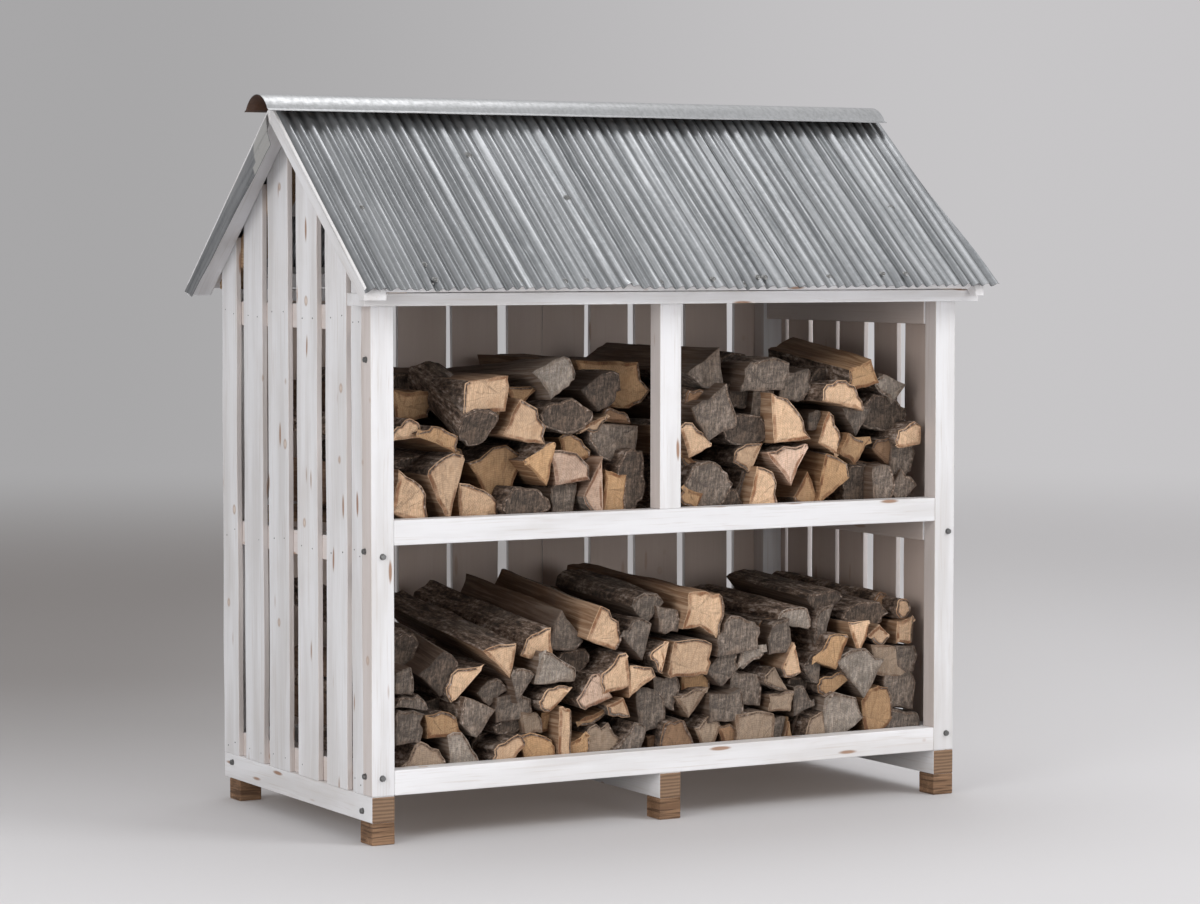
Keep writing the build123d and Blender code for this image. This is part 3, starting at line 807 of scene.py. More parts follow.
# Firewood: each log is a cut round, stretched to its width and height, with a bark side and split sides
# kind, middle x and z of its front end, width, height in mm, way its bark faces in degrees, wood,
# and where they aren't 0: how far back it lies in mm, how far its far end tips up in degrees, its length in mm
firewood = {
    "front": -0.300,
    "back": 0.286,
    "shortest": 0.43,
    "longest": 0.56,
    "around": 26,
    "rings": 9,
    "rough": 0.0042,
    "rim": 0.0016,
    "uneven": 0.26,
    "barkThickness": 0.0034,
    "swell": 1.04,
    "fineShare": 0.4,
    "endPush": 0.12,
    "fineRim": 0.005,
    "slantX": (-0.05, 0.05),
    "slantZ": (-0.09, 0.03),
    "bend": (-0.006, 0.006),
    "taper": (-0.10, 0.12),
    "yaw": 1.2,  # degrees, as nod is
    "nod": 0.6,
    # brown is brown-tan wood, and also tan wood painted darker for ends that lie in shade
    "woods": {"fresh": 0.0, "pink": 0.1, "gold": 0.25, "brown": 0.4, "pale": 0.55, "silver": 0.75, "grey": 0.88,
              "dark": 1.0},
    "upperLeft": [
        ("quarter", -539, 645, 71, 96, 30, "fresh"), ("wedge", -462, 666, 79, 113, 95, "fresh"),
        ("quarter", -384, 628, 82, 70, 40, "fresh", 22), ("wedge", -325, 678, 116, 103, 100, "gold", 77),
        ("round", -292, 627, 100, 55, 0, "dark"), ("block", -199, 629, 59, 59, 90, "grey", 22),
        ("wedge", -265, 696, 68, 82, 110, "gold"), ("quarter", -199, 689, 84, 65, 60, "pink"),
        ("wedge", -146, 652, 45, 105, 250, "pink"), ("block", -91, 643, 56, 71, 0, "gold", 11),
        ("round", -35, 659, 62, 117, 0, "dark", 11), ("quarter", -36, 727, 100, 84, 215, "grey", 44),
        ("quarter", -157, 719, 67, 64, 60, "gold", 55), ("slab", -122, 769, 65, 38, 300, "fresh", 44),
        ("slab", -39, 782, 74, 33, 90, "brown", 66), ("round", -185, 786, 118, 69, 0, "dark", 33),
        ("block", -102, 832, 87, 76, 45, "dark", 44), ("block", -16, 834, 160, 104, 0, "gold", 150),
        ("block", -230, 861, 89, 80, 30, "silver", 0, -4), ("block", -378, 831, 95, 71, 180, "fresh"),
        ("wedge", -278, 819, 58, 51, 80, "gold", 44), ("quarter", -296, 777, 90, 85, 30, "fresh"),
        ("quarter", -311, 778, 39, 45, 200, "fresh", 55), ("round", -395, 770, 80, 72, 0, "dark", 4, 22, 230),
        ("block", -465, 806, 91, 65, 0, "gold", 132), ("round", -426, 848, 85, 35, 0, "dark", 242),
        ("half", -537, 770, 52, 42, 100, "fresh", 22), ("half", -480, 749, 82, 50, 60, "gold"),
        ("slab", -413, 715, 42, 24, 90, "gold", 66), ("round", -472, 701, 114, 34, 0, "dark", 88),
        ("round", -354, 830, 89, 55, 0, "dark", 154), ("round", -281, 708, 51, 31, 0, "dark", 132),
        ("round", -87, 611, 52, 42, 0, "dark", 132),
    ],
    "upperRight": [
        ("quarter", 86, 734, 76, 67, 60, "fresh"), ("slab", 90, 685, 55, 40, 250, "gold", 22),
        ("quarter", 73, 623, 53, 42, 200, "gold"), ("round", 111, 649, 108, 84, 80, "grey"),
        ("half", 171, 615, 77, 37, 90, "dark", 22), ("quarter", 217, 638, 56, 70, 120, "grey", 44),
        ("quarter", 241, 638, 69, 75, 40, "fresh"), ("wedge", 295, 678, 91, 79, 95, "pink"),
        ("wedge", 355, 629, 64, 67, 270, "gold", 22), ("wedge", 410, 659, 75, 78, 60, "gold", 11),
        ("block", 463, 706, 69, 60, 60, "gold", 11), ("quarter", 410, 737, 53, 84, 20, "fresh", 22),
        ("quarter", 306, 772, 93, 96, 45, "fresh"), ("half", 216, 694, 69, 57, 160, "fresh", 22),
        ("round", 214, 749, 99, 62, 0, "dark", 33), ("block", 126, 785, 97, 109, 30, "grey"),
        ("wedge", 131, 869, 81, 80, 250, "grey", 44), ("slab", 103, 808, 51, 44, 120, "brown", 44),
        ("block", 259, 858, 112, 68, 90, "grey", 22), ("block", 342, 834, 79, 63, 0, "grey", 44),
        ("round", 255, 877, 83, 48, 0, "dark", 132), ("round", 221, 817, 69, 55, 0, "dark", 66),
        ("block", 264, 788, 52, 89, 90, "grey", 44), ("half", 426, 814, 99, 57, 80, "fresh"),
        ("block", 477, 853, 73, 63, 200, "gold", 0, 7, 300), ("round", 434, 835, 62, 71, 0, "dark", 88),
        ("quarter", 571, 822, 75, 60, 200, "silver", 44), ("wedge", 474, 761, 71, 56, 90, "grey", 22),
        ("round", 574, 773, 118, 75, 0, "dark", 55), ("quarter", 598, 733, 61, 51, 135, "fresh"),
        ("block", 596, 683, 59, 72, 0, "grey", 22), ("half", 551, 691, 68, 68, 60, "brown", 33),
        ("block", 602, 631, 70, 58, 45, "grey", 11), ("block", 527, 638, 56, 67, 0, "grey"),
        ("round", 491, 637, 85, 66, 0, "dark", 33), ("slab", 525, 666, 121, 23, 90, "brown", 55),
        ("block", 391, 762, 35, 41, 0, "grey", 44), ("round", 336, 690, 66, 60, 0, "dark", 110),
        ("round", 429, 683, 67, 45, 0, "dark", 110), ("round", 341, 615, 57, 56, 0, "dark", 110),
    ],
    "lower": [
        ("half", -507, 159, 101, 47, 90, "pale"), ("quarter", -425, 164, 70, 58, 60, "silver"),
        ("half", -332, 155, 69, 51, 130, "fresh"), ("block", -262, 156, 78, 48, 90, "gold", 11),
        ("block", -207, 183, 31, 88, 0, "fresh"), ("block", -217, 196, 39, 40, 0, "gold", 44),
        ("block", -168, 151, 43, 35, 0, "gold", 11), ("slab", -120, 164, 89, 45, 90, "pale", 11),
        ("quarter", -69, 162, 74, 49, 120, "grey"), ("block", -542, 212, 56, 64, 90, "grey"),
        ("block", -469, 210, 75, 48, 90, "gold"), ("quarter", -395, 220, 74, 77, 200, "grey"),
        ("block", -270, 198, 47, 48, 0, "pale", 22), ("round", -314, 193, 66, 31, 0, "dark", 33),
        ("half", -229, 245, 72, 48, 150, "fresh"), ("quarter", -142, 253, 73, 66, 160, "pink"),
        ("slab", -134, 202, 67, 38, 300, "gold", 22), ("quarter", -89, 217, 52, 37, 250, "fresh"),
        ("block", -308, 230, 77, 52, 0, "grey", 22), ("block", -347, 262, 62, 52, 45, "grey", 33),
        ("wedge", -299, 275, 46, 65, 80, "grey"), ("quarter", -229, 305, 84, 60, 45, "silver", 0, 3),
        ("slab", -416, 284, 76, 70, 135, "fresh", 11), ("wedge", -351, 324, 69, 65, 110, "fresh", 0, 7),
        ("quarter", -256, 350, 66, 64, 135, "fresh", 22, 6),
        ("wedge", -185, 371, 79, 83, 280, "grey", 33, 5, 390),
        ("quarter", -119, 374, 77, 83, 20, "fresh", 0, 5, 410), ("quarter", -99, 286, 68, 75, 140, "fresh"),
        ("wedge", -49, 349, 66, 80, 100, "grey"), ("quarter", -8, 405, 71, 60, 100, "grey", 33, 3, 300),
        ("wedge", -37, 268, 56, 61, 60, "fresh"), ("slab", -1, 311, 36, 58, 180, "fresh"),
        ("block", -4, 207, 61, 84, 0, "grey", 22), ("block", 8, 142, 40, 26, 0, "brown", 22),
        ("block", -546, 294, 37, 54, 0, "grey", 11), ("slab", -531, 256, 69, 30, 90, "grey", 11),
        ("quarter", -469, 305, 76, 85, 0, "dark", 22, 8), ("block", -418, 298, 50, 41, 0, "dark", 44),
        ("round", -157, 308, 71, 45, 0, "dark", 55, 5), ("round", -336, 155, 58, 45, 0, "dark", 88),
        ("round", -508, 345, 60, 68, 0, "dark", 88, 8), ("round", -436, 231, 76, 38, 0, "dark", 88),
        ("round", -218, 280, 59, 38, 0, "dark", 88), ("block", 103, 391, 91, 93, 350, "fresh", 0, 2),
        ("block", 36, 382, 55, 58, 0, "grey", 22), ("block", 72, 307, 95, 73, 90, "fresh"),
        ("block", 111, 251, 64, 44, 0, "gold", 44), ("block", 182, 345, 101, 77, 90, "grey", 0, 1),
        ("quarter", 221, 303, 65, 52, 300, "silver", 11), ("block", 288, 336, 54, 67, 90, "grey", 11, 1),
        ("slab", 281, 349, 31, 41, 180, "brown", 55), ("wedge", 310, 290, 46, 71, 270, "fresh"),
        ("half", 363, 267, 46, 60, 170, "grey", 11), ("quarter", 400, 301, 77, 71, 110, "gold"),
        ("wedge", 473, 320, 54, 71, 90, "fresh", 11), ("quarter", 523, 327, 56, 40, 270, "fresh", 11),
        ("round", 632, 374, 34, 40, 0, "fresh", 33), ("block", 624, 330, 39, 53, 0, "fresh", 22),
        ("block", 616, 273, 50, 53, 0, "grey", 11), ("block", 550, 269, 86, 77, 0, "pale", 11),
        ("wedge", 473, 252, 112, 98, 90, "silver"), ("half", 418, 230, 80, 49, 150, "gold", 11),
        ("block", 512, 176, 76, 92, 20, "gold"), ("block", 596, 210, 80, 74, 0, "grey", 11),
        ("block", 575, 153, 91, 44, 90, "grey"), ("wedge", 429, 174, 93, 82, 60, "silver"),
        ("half", 387, 160, 90, 56, 110, "pale"), ("round", 358, 157, 40, 56, 0, "dark", 44),
        ("wedge", 306, 153, 28, 39, 270, "gold", 11), ("block", 293, 206, 63, 41, 90, "pale", 11),
        ("block", 283, 153, 44, 45, 0, "grey", 22), ("block", 223, 162, 91, 59, 90, "pale"),
        ("quarter", 168, 151, 58, 39, 90, "brown", 11), ("wedge", 119, 162, 62, 59, 90, "pale", 11),
        ("slab", 42, 161, 80, 51, 90, "brown"), ("wedge", 83, 214, 76, 55, 90, "pale", 11),
        ("block", 155, 207, 77, 63, 0, "grey"), ("block", 153, 283, 73, 77, 45, "grey", 11),
        ("block", 213, 236, 73, 74, 0, "grey", 22), ("half", 271, 251, 56, 46, 200, "pale"),
        ("block", 30, 238, 55, 73, 0, "grey", 22), ("wedge", 343, 206, 48, 62, 60, "grey", 11),
        ("round", 349, 232, 48, 30, 0, "dark", 44), ("slab", 403, 345, 49, 88, 160, "grey", 33),
        ("half", 335, 367, 83, 46, 80, "silver", 33, 3, 340),
        ("quarter", 410, 392, 84, 52, 90, "dark", 44, 4, 310),
        ("slab", 583, 385, 50, 36, 90, "brown", 88, 2, 400),
        ("round", 513, 366, 112, 52, 0, "dark", 44, 3, 420),
        ("round", 600, 372, 60, 44, 0, "dark", 132, 1, 400), ("round", 501, 272, 59, 46, 0, "dark", 66),
        ("round", 306, 262, 53, 41, 0, "dark", 88), ("round", 606, 302, 73, 38, 0, "dark", 88),
        # painted shade: the dark round at 562, 186 fills a gap between logs, so that no light shows through
        # where there is only shade
        ("round", 576, 206, 46, 35, 0, "dark", 110), ("round", 562, 186, 64, 46, 0, "dark", 80),
    ],
}
piles = {
    "firewood_upper_left": {"rows": "upperLeft", "floor": 0.5925, "left": -0.589, "right": -0.024},
    "firewood_upper_right": {"rows": "upperRight", "floor": 0.5925, "left": 0.026, "right": 0.616},
    "firewood_lower": {"rows": "lower", "floor": 0.1035, "left": -0.589, "right": 0.616},
}
# planes that split a round, as the directions they cut away, and how far from its heart
splits = {
    "round": [],
    "half": [(180, 0.0)],
    "quarter": [(135, 0.0), (225, 0.0)],
    "wedge": [(118, 0.0), (242, 0.0)],
    "block": [(180, 0.25), (90, 0.45), (270, 0.5)],
    "slab": [(180, -0.45)],
}


def cutRound(kind, chance):
    # A flat face in X and Z with its heart at the origin, split as its kind says, its bark towards +X
    bm = bmesh.new()
    upright = Matrix.Rotation(math.radians(90), 4, "X")
    bmesh.ops.create_circle(bm, cap_ends=True, segments=firewood["around"], radius=1.0,
                            matrix=upright @ Matrix.Rotation(chance.random(), 4, "Z"))
    for angle, distance in splits[kind]:
        angle = math.radians(angle + chance.uniform(-9, 9))
        direction = Vector((math.cos(angle), 0, math.sin(angle)))
        cutAcross(bm, direction * distance, direction, True)
    straight = [edge for edge in bm.edges if edge.calc_length() > 0.3]
    bmesh.ops.subdivide_edges(bm, edges=straight, cuts=5)
    bmesh.ops.dissolve_faces(bm, faces=bm.faces[:])  # the cuts joined two straight sides across the face
    return bm


def facesBeside(faces):
    return {other for face in faces for edge in face.edges for other in edge.link_faces}


def makeLog(row, pile, nodeName, chance):
    kind, x, z, width, height, turn, wood, setBack, tilt, given = (*row, 0, 0, 0)[:10]
    x, z, width, height, setBack = (value / 1000 for value in (x, z, width, height, setBack))
    bottom = z - height / 2
    if bottom < pile["floor"] + 0.045:  # the front rail hides its foot
        height += bottom - pile["floor"]
        z = pile["floor"] + height / 2
    width, height = width * firewood["swell"], height * firewood["swell"]
    spill = 0.09 if setBack > 0.12 and nodeName == "firewood_upper_left" else 0.0  # behind the middle post
    x = max(pile["left"] + width / 2, min(pile["right"] + spill - width / 2, x))
    start = firewood["front"] + setBack
    length = min(firewood["back"] - start, chance.uniform(firewood["shortest"], firewood["longest"]))
    if given:
        length = given / 1000
    bm = cutRound(kind, chance)
    end = bm.faces[:]
    out = bmesh.ops.extrude_face_region(bm, geom=end)
    far = [item for item in out["geom"] if isinstance(item, bmesh.types.BMVert)]
    bmesh.ops.translate(bm, verts=far, vec=(0, length, 0))
    bm.normal_update()
    bmesh.ops.recalc_face_normals(bm, faces=bm.faces[:])
    for face in bm.faces:
        centre = face.calc_center_median()
        if abs(face.normal.y) > 0.9:
            face.material_index = 0
        else:
            face.material_index = 1 if math.hypot(centre.x, centre.z) > 0.95 else 2
    rim = [edge for edge in bm.edges
           if 0 in {face.material_index for face in edge.link_faces} and len(edge.link_faces) == 2]
    jag = chance.uniform(-90, 90)
    for vert in bm.verts:  # the outline is never a clean arc
        out = noise.noise(Vector((vert.co.x * 1.7, jag, vert.co.z * 1.7))) * firewood["uneven"]
        out += noise.noise(Vector((vert.co.x * 5, jag + 5, vert.co.z * 5))) * firewood["uneven"] * 0.45
        vert.co.x *= 1 + out
        vert.co.z *= 1 + out
    bmesh.ops.transform(bm, matrix=Matrix.Rotation(-math.radians(turn), 4, "Y"), verts=bm.verts)
    lowX, highX = min(v.co.x for v in bm.verts), max(v.co.x for v in bm.verts)
    lowZ, highZ = min(v.co.z for v in bm.verts), max(v.co.z for v in bm.verts)
    bmesh.ops.scale(bm, vec=(width / (highX - lowX), 1, height / (highZ - lowZ)), verts=bm.verts)
    shiftX = (lowX + highX) / 2 * width / (highX - lowX)
    shiftZ = (lowZ + highZ) / 2 * height / (highZ - lowZ)
    bmesh.ops.bevel(bm, geom=rim, offset=firewood["rim"], segments=1, profile=0.5, affect="EDGES", material=-1)
    ends = [face for face in bm.faces if len(face.verts) > 8 and abs(face.normal.y) > 0.9]
    rimLayer = bm.verts.layers.float.new("rim")
    for vert in {vert for face in ends for vert in face.verts}:
        vert[rimLayer] = 1.0
    ring = bmesh.ops.inset_region(bm, faces=ends, thickness=firewood["barkThickness"])["faces"]
    inner = set(ring) | set(ends)
    for face in ring:  # the bark shows as a dark line round the end
        outer = facesBeside([face]) - inner
        face.material_index = 1 if 1 in {other.material_index for other in facesBeside(outer) - inner} else 0
    for share, reach in ((0.6, min(firewood["fineRim"], 0.08 * min(width, height))), (0.0, 0.0)):
        for vert in {vert for face in ends for vert in face.verts}:
            vert[rimLayer] = share
        if reach:
            bmesh.ops.inset_region(bm, faces=ends, thickness=reach)
    for cut in range(1, firewood["rings"]):
        cutAcross(bm, (0, length * cut / firewood["rings"], 0), (0, 1, 0))
    own = bm.verts.layers.float_vector.new("own")
    woodLayer = bm.faces.layers.float.new("wood")
    shade = bm.faces.layers.float.new("shade")
    value = chance.random()
    for face in bm.faces:
        face[woodLayer] = firewood["woods"][wood]
        face[shade] = value
    seed = chance.uniform(-90, 90)
    slantX, slantZ, bend, taper = (chance.uniform(*firewood[name])
                                   for name in ("slantX", "slantZ", "bend", "taper"))
    for vert in bm.verts:
        vert[own] = vert.co.copy()
        share = vert.co.y / length
        place = Vector((vert.co.x * 34, vert.co.y * 8, vert.co.z * 34 + seed))
        fine = Vector((vert.co.x * 110, vert.co.y * 19, vert.co.z * 110 + seed))
        push = noise.noise_vector(place) + noise.noise_vector(fine) * firewood["fineShare"]
        push *= firewood["rough"]
        push.y = push.x * firewood["endPush"] if vert.co.y < 0.001 else 0.0
        edge = min(share, 1 - share)
        vert.co.y += (slantX * vert.co.x + slantZ * vert.co.z) * (1 if share < 0.5 else -1) * (edge < 0.02)
        vert.co.x = vert.co.x * (1 - taper * share) + bend * math.sin(share * math.pi)
        vert.co.z = vert.co.z * (1 - taper * share)
        vert.co += push
    bmesh.ops.translate(bm, verts=bm.verts, vec=(-shiftX, 0, -shiftZ))
    yaw, nod = (math.radians(chance.uniform(-most, most)) for most in (firewood["yaw"], firewood["nod"]))
    place = (Matrix.Translation((x, start, z)) @ Matrix.Rotation(yaw, 4, "Z")
             @ Matrix.Rotation(math.radians(tilt) + nod, 4, "X"))
    bmesh.ops.transform(bm, matrix=place, verts=bm.verts)
    highest = max(vert.co.y for vert in bm.verts)
    if highest > firewood["back"]:
        bmesh.ops.translate(bm, verts=bm.verts, vec=(0, firewood["back"] - highest, 0))
    return bm


def makePile(nodeName, pile, materials):
    whole = bpy.data.meshes.new(nodeName + "_logs")
    joined = bmesh.new()
    joined.verts.layers.float_vector.new("own")
    joined.verts.layers.float.new("rim")
    joined.faces.layers.float.new("wood")
    joined.faces.layers.float.new("shade")
    for number, row in enumerate(firewood[pile["rows"]]):
        log = makeLog(row, pile, nodeName, random.Random(nodeName + str(number)))
        log.to_mesh(whole)
        log.free()
        joined.from_mesh(whole)
    bpy.data.meshes.remove(whole)
    addPiece(nodeName + "_logs", joined, materials, nodeName)


woodTones = [
    (0.0, (0.63, 0.435, 0.285, 1)), (0.1, (0.60, 0.43, 0.33, 1)), (0.25, (0.46, 0.285, 0.15, 1)),
    # 0.4 brown is gold darkened: brown wood, and painted shade for ends in shadow
    (0.4, (0.27, 0.16, 0.09, 1)), (0.55, (0.32, 0.24, 0.175, 1)), (0.75, (0.28, 0.24, 0.205, 1)),
    (0.88, (0.175, 0.14, 0.115, 1)), (1.0, (0.10, 0.072, 0.054, 1)),
]


def rampOf(tree, value, stops):
    ramp = addNode(tree, "ShaderNodeValToRGB")
    elements = ramp.color_ramp.elements
    elements[0].position, elements[0].color = stops[0]
    elements[1].position, elements[1].color = stops[-1]
    for position, colour in stops[1:-1]:
        elements.new(position).color = colour
    feed(tree, ramp.inputs["Fac"], value)
    return ramp.outputs["Color"]


def shaded(tree, colour, low, high):
    # Lightens or darkens a whole log by its own chance
    return levelled(tree, colour, plus(tree, times(tree, attributeOf(tree, "shade"), high - low), low))


def logEndMaterial():
    material, tree, shader = newMaterial("logEnd", 0.8)
    own = attributeOf(tree, "own", "Vector")
    dirt = placeGroup(tree, grime, Vector=own)
    flat = stretched(tree, own, (1, 0.05, 1))
    warp = noiseOf(tree, flat, 22.0, 3.0)
    rings = addNode(tree, "ShaderNodeTexWave", wave_type="RINGS", rings_direction="Y")
    feed(tree, rings.inputs["Vector"], flat)
    rings.inputs["Scale"].default_value = 78
    rings.inputs["Distortion"].default_value = 1.6
    rings.inputs["Detail"].default_value = 2
    axes = axesOf(tree, own)
    angle = calculate(tree, "ARCTAN2", axes["Z"], axes["X"])
    around = addNode(tree, "ShaderNodeCombineXYZ")
    feed(tree, around.inputs["X"], times(tree, angle, 5.0))
    feed(tree, around.inputs["Y"], times(tree, warp, 2.2))
    feed(tree, around.inputs["Z"], times(tree, attributeOf(tree, "shade"), 60.0))
    ray = noiseOf(tree, around.outputs[0], 1.0, 2.0)
    crack = remap(tree, calculate(tree, "ABSOLUTE", minus(tree, ray, 0.5)), 0.012, 0.0)
    wood = attributeOf(tree, "wood")
    colour = rampOf(tree, wood, woodTones)
    colour = shaded(tree, colour, 0.80, 1.22)
    weathered = remap(tree, wood, 0.5, 1.1)
    mottle = noiseOf(tree, flat, 150.0, 5.0, 0.7)
    broadMottle = noiseOf(tree, flat, 38.0, 4.0, 0.65)
    dapple = plus(tree, times(tree, mottle, 0.45),
                       times(tree, broadMottle, 0.55))
    softSpots = remap(tree, dapple, 0.36, 0.64, 0.84, 1.14)
    hardSpots = remap(tree, dapple, 0.40, 0.64, 0.46, 1.6)
    spots = addNode(tree, "ShaderNodeMix", data_type="FLOAT")
    feed(tree, spots.inputs["Factor"], weathered)
    fibre = noiseOf(tree, stretched(tree, own, (260, 9, 40)), 1.0, 4.0, 0.7)
    feed(tree, spots.inputs["A"], softSpots)
    feed(tree, spots.inputs["B"], times(tree, hardSpots, remap(tree, fibre, 0.38, 0.62, 0.55, 1.45)))
    colour = levelled(tree, colour, spots.outputs["Result"])
    darker = blendColours(tree, 1.0, colour, (0.62, 0.53, 0.44, 1), "MULTIPLY")
    colour = tinted(tree, colour, rings.outputs["Fac"], 0.34, darker)
    colour = tinted(tree, colour, remap(tree, warp, 0.5, 0.72), 0.5, darker)
    colour = tinted(tree, colour, dirt.outputs["Blotch"], 0.35, (0.17, 0.13, 0.10, 1))
    colour = tinted(tree, colour, crack, 0.3, (0.05, 0.03, 0.02, 1))
    rim = times(tree, remap(tree, attributeOf(tree, "rim"), 0.1, 0.6),
                    remap(tree, warp, 0.36, 0.58, 0.15, 0.95))
    rim = times(tree, rim, remap(tree, wood, 0.3, 0.9, 1.0, 0.35))
    colour = blendColours(tree, rim, colour, blendColours(tree, 1.0, colour, (0.32, 0.19, 0.12, 1), "MULTIPLY"))
    saw = noiseOf(tree, stretched(tree, own, (420, 14, 26)), 1.0, 3.0, 0.65)
    colour = tinted(tree, colour, remap(tree, saw, 0.46, 0.70), 0.6, darker)
    feed(tree, shader.inputs["Base Color"], colour)
    height = minus(tree, plus(tree, times(tree, saw, 0.7), dapple),
                       times(tree, crack, 0.5))
    addBump(tree, shader, height, 0.0017, 0.9)
    return material


def logBarkMaterial():
    material, tree, shader = newMaterial("logBark", 0.9)
    own = attributeOf(tree, "own", "Vector")
    ridge = noiseOf(tree, stretched(tree, own, (95, 16, 95)), 1.0, 5.0, 0.62)
    flakes = noiseOf(tree, stretched(tree, own, (130, 75, 130)), 1.0, 5.0, 0.7)
    dirt = placeGroup(tree, grime, Vector=own)
    both = plus(tree, times(tree, ridge, 0.5), times(tree, flakes, 0.5))
    colour = rampOf(tree, both, [(0.42, (0.034, 0.020, 0.013, 1)), (0.49, (0.12, 0.078, 0.053, 1)),
                                 (0.54, (0.20, 0.14, 0.105, 1)), (0.60, (0.40, 0.325, 0.275, 1))])
    colour = tinted(tree, colour, dirt.outputs["Blotch"], 0.4, (0.22, 0.21, 0.19, 1))
    colour = shaded(tree, colour, 0.7, 1.2)
    feed(tree, shader.inputs["Base Color"], colour)
    addBump(tree, shader, both, 0.005, 1.0)
    return material


def logSplitMaterial():
    material, tree, shader = newMaterial("logSplit", 0.85)
    own = attributeOf(tree, "own", "Vector")
    fibre = noiseOf(tree, stretched(tree, own, (170, 7, 170)), 1.0, 4.0, 0.6)
    broad = noiseOf(tree, stretched(tree, own, (26, 3, 26)), 1.0, 3.0)
    dirt = placeGroup(tree, grime, Vector=own)
    colour = rampOf(tree, attributeOf(tree, "wood"), woodTones)
    shadeTowardsBack = remap(tree, axesOf(tree, own)["Y"], 0.0, 0.22, 0.30, 0.85)  # painted shade: darker towards the back, lit and pale only near its front end
    colour = blendColours(tree, shadeTowardsBack, colour, (0.215, 0.135, 0.09, 1))
    colour = shaded(tree, colour, 0.75, 1.1)
    dark = blendColours(tree, 1.0, colour, (0.52, 0.42, 0.34, 1), "MULTIPLY")
    colour = blendColours(tree, remap(tree, fibre, 0.4, 0.66), dark, colour)
    colour = tinted(tree, colour, remap(tree, broad, 0.45, 0.7), 0.55, dark)
    colour = tinted(tree, colour, dirt.outputs["Blotch"], 0.4, (0.15, 0.13, 0.115, 1))
    feed(tree, shader.inputs["Base Color"], colour)
    addBump(tree, shader, fibre, 0.0022, 0.9)
    return material


logMaterials = [logEndMaterial(), logBarkMaterial(), logSplitMaterial()]
for nodeName, pile in piles.items():
    makePile(nodeName, pile, logMaterials)
print("firewood done")


# Studio: a pale floor that turns up into a backdrop all round, and four soft lamps
studio = {
    "floorRadius": 11.0,
    "bend": 3.0,
    "wallTop": 9.0,
    "floorColour": (0.57, 0.57, 0.585, 1),
    "floorShadeFarLeft": (0.17, 0.168, 0.17, 1),
    "floorGlow": (0.070, 0.057, 0.050, 1),
    "backdropLeft": (0.39, 0.385, 0.39, 1),
    "backdropRight": (0.57, 0.56, 0.57, 1),
    "lens": 106.37,
    "cameraPlace": (-3.4695, -6.2406, 1.1130),
    "cameraTurn": (90 - 3.329, -0.015, -29.332),
    "lamps": {
        "key": {"place": (3.4, -4.6, 4.6), "aim": (0, 0, 0.6), "size": 2.6, "power": 168},
        "fill": {"place": (-5.6, -3.0, 1.8), "aim": (0, 0, 0.7), "size": 3.0, "power": 170},
        "front": {"place": (0.9, -7.6, 0.95), "aim": (0.3, 0, 0.5), "size": 2.8, "power": 146},
        "top": {"place": (0.5, 1.5, 5.5), "aim": (0, 0, 0.5), "size": 3.0, "power": 70},
    },
    "worldColour": (0.81, 0.81, 0.815, 1),
    "worldLevel": 0.90,
}


def studioPaper():
    # Pale paper with painted shadow on the floor towards the far left; far from the object it shows the camera
    # a backdrop that glows darker to the left and brighter to the right, a painted fall of light
    material, tree, shader = newMaterial("studioPaper", 0.9)
    point = addNode(tree, "ShaderNodeTexCoord").outputs["Object"]
    axes = axesOf(tree, point)
    toRight = minus(tree, times(tree, axes["X"], 0.872),
                        times(tree, axes["Y"], 0.490))
    away = plus(tree, times(tree, axes["X"], 0.490),
                     times(tree, axes["Y"], 0.872))
    # painted shadow: the floor darkens towards the far left, where the store's shadow and the fall of light lie
    paintedFloorShade = times(tree, remap(tree, away, -1.4, 2.2), remap(tree, toRight, 1.5, -1.4))
    colour = blendColours(tree, paintedFloorShade, studio["floorColour"], studio["floorShadeFarLeft"])
    feed(tree, shader.inputs["Base Color"], colour)
    rays = addNode(tree, "ShaderNodeLightPath")
    seen = rays.outputs["Is Camera Ray"]
    for name in ("Is Glossy Ray", "Is Transmission Ray"):
        seen = calculate(tree, "MAXIMUM", seen, rays.outputs[name])
    # painted light: a faint warm glow on the paper, seen by camera and glossy rays, lightens the shadow under
    # and around the store
    shader.inputs["Emission Color"].default_value = studio["floorGlow"]
    feed(tree, shader.inputs["Emission Strength"], seen)
    glow = addNode(tree, "ShaderNodeEmission")
    # painted light: the backdrop glows darker to the left and brighter to the right, for the fall of light
    # across it
    right = remap(tree, toRight, -3.0, 2.6)
    feed(tree, glow.inputs["Color"], blendColours(tree, right, studio["backdropLeft"], studio["backdropRight"]))
    distance = addNode(tree, "ShaderNodeVectorMath", operation="LENGTH")
    tree.links.new(point, distance.inputs[0])
    share = times(tree, seen, remap(tree, distance.outputs["Value"], 4.0, 11.0))
    both = addNode(tree, "ShaderNodeMixShader")
    feed(tree, both.inputs[0], share)
    tree.links.new(shader.outputs[0], both.inputs[1])
    tree.links.new(glow.outputs[0], both.inputs[2])
    tree.links.new(both.outputs[0], tree.nodes["Material Output"].inputs["Surface"])
    return material


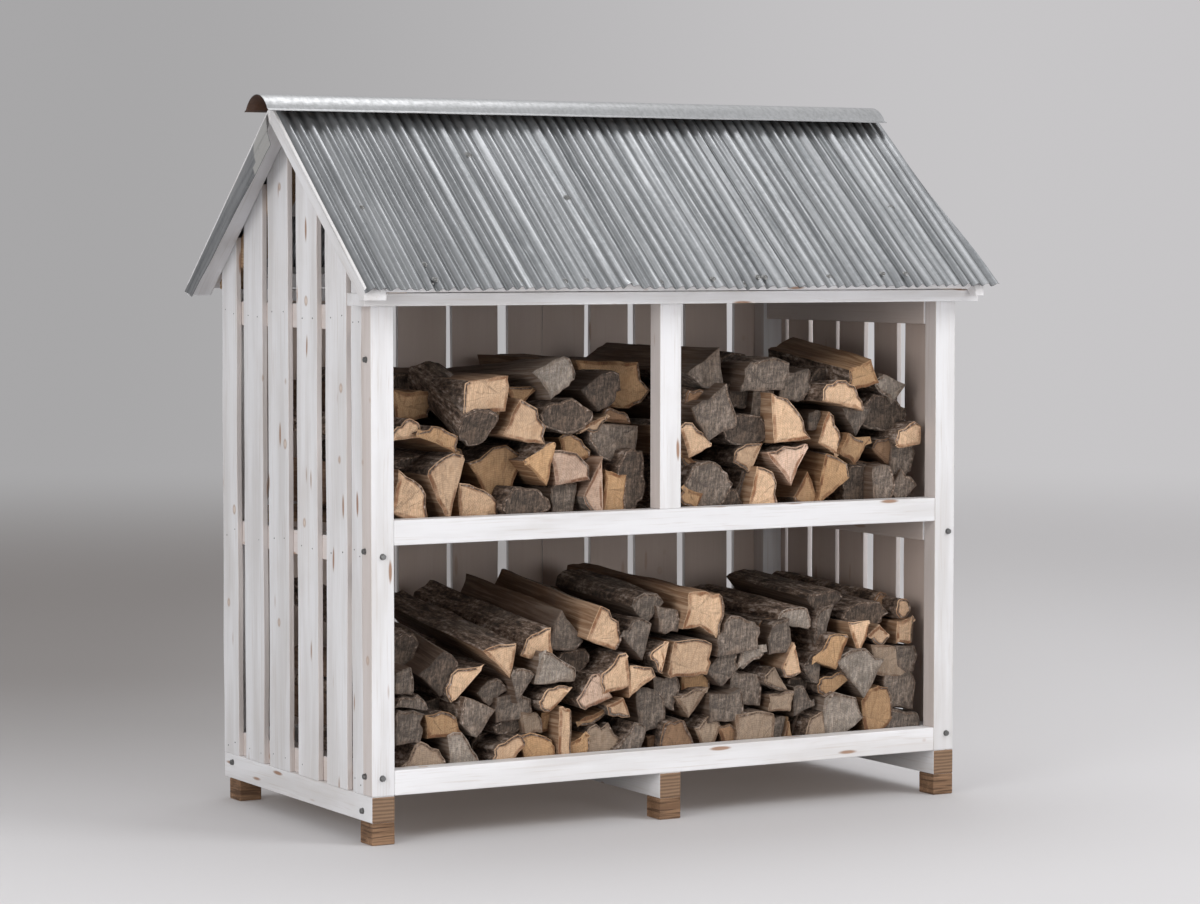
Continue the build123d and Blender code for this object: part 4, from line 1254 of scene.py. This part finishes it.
def makeStudio():
    bm = bmesh.new()
    radius, bend = studio["floorRadius"], studio["bend"]
    points = [Vector((0.0, 0, 0)), Vector((radius, 0, 0))]
    verts = [bm.verts.new(point) for point in points]
    bm.edges.new(verts)
    bent = bmesh.ops.spin(bm, geom=[verts[1]], cent=(radius, 0, bend), axis=(0, 1, 0), angle=-math.radians(90),
                          steps=14, use_duplicate=False)
    top = [item for item in bent["geom_last"] if isinstance(item, bmesh.types.BMVert)][0]
    wall = bm.verts.new((top.co.x, 0, studio["wallTop"]))
    bm.edges.new((top, wall))
    bmesh.ops.spin(bm, geom=bm.verts[:] + bm.edges[:], cent=(0, 0, 0), axis=(0, 0, 1), angle=2 * math.pi,
                   steps=96, use_merge=True, use_duplicate=False)
    bmesh.ops.remove_doubles(bm, verts=bm.verts[:], dist=1e-4)
    bmesh.ops.recalc_face_normals(bm, faces=bm.faces[:])
    material = studioPaper()
    mesh = bpy.data.meshes.new("studio_floor")
    bm.to_mesh(mesh)
    bm.free()
    mesh.materials.append(material)
    floor = bpy.data.objects.new("studio_floor", mesh)
    scene.collection.objects.link(floor)
    for polygon in mesh.polygons:
        polygon.use_smooth = True

    for name, values in studio["lamps"].items():
        data = bpy.data.lights.new(name, "AREA")
        data.energy = values["power"]
        data.size = values["size"]
        lamp = bpy.data.objects.new(name, data)
        lamp.location = values["place"]
        lamp.rotation_euler = (Vector(values["aim"]) - lamp.location).to_track_quat("-Z", "Y").to_euler()
        scene.collection.objects.link(lamp)

    world = bpy.data.worlds.new("studioWorld")
    world.use_nodes = True
    world.node_tree.nodes["Background"].inputs["Color"].default_value = studio["worldColour"]
    world.node_tree.nodes["Background"].inputs["Strength"].default_value = studio["worldLevel"]
    scene.world = world

    camera = bpy.data.cameras.new("camera")
    camera.lens = studio["lens"]
    camera.sensor_width = 36
    camera.sensor_fit = "HORIZONTAL"
    view = bpy.data.objects.new("camera", camera)
    view.location = studio["cameraPlace"]
    view.rotation_euler = Euler([math.radians(angle) for angle in studio["cameraTurn"]])
    scene.collection.objects.link(view)
    scene.camera = view


makeStudio()
print("studio done")

bpy.context.view_layer.update()
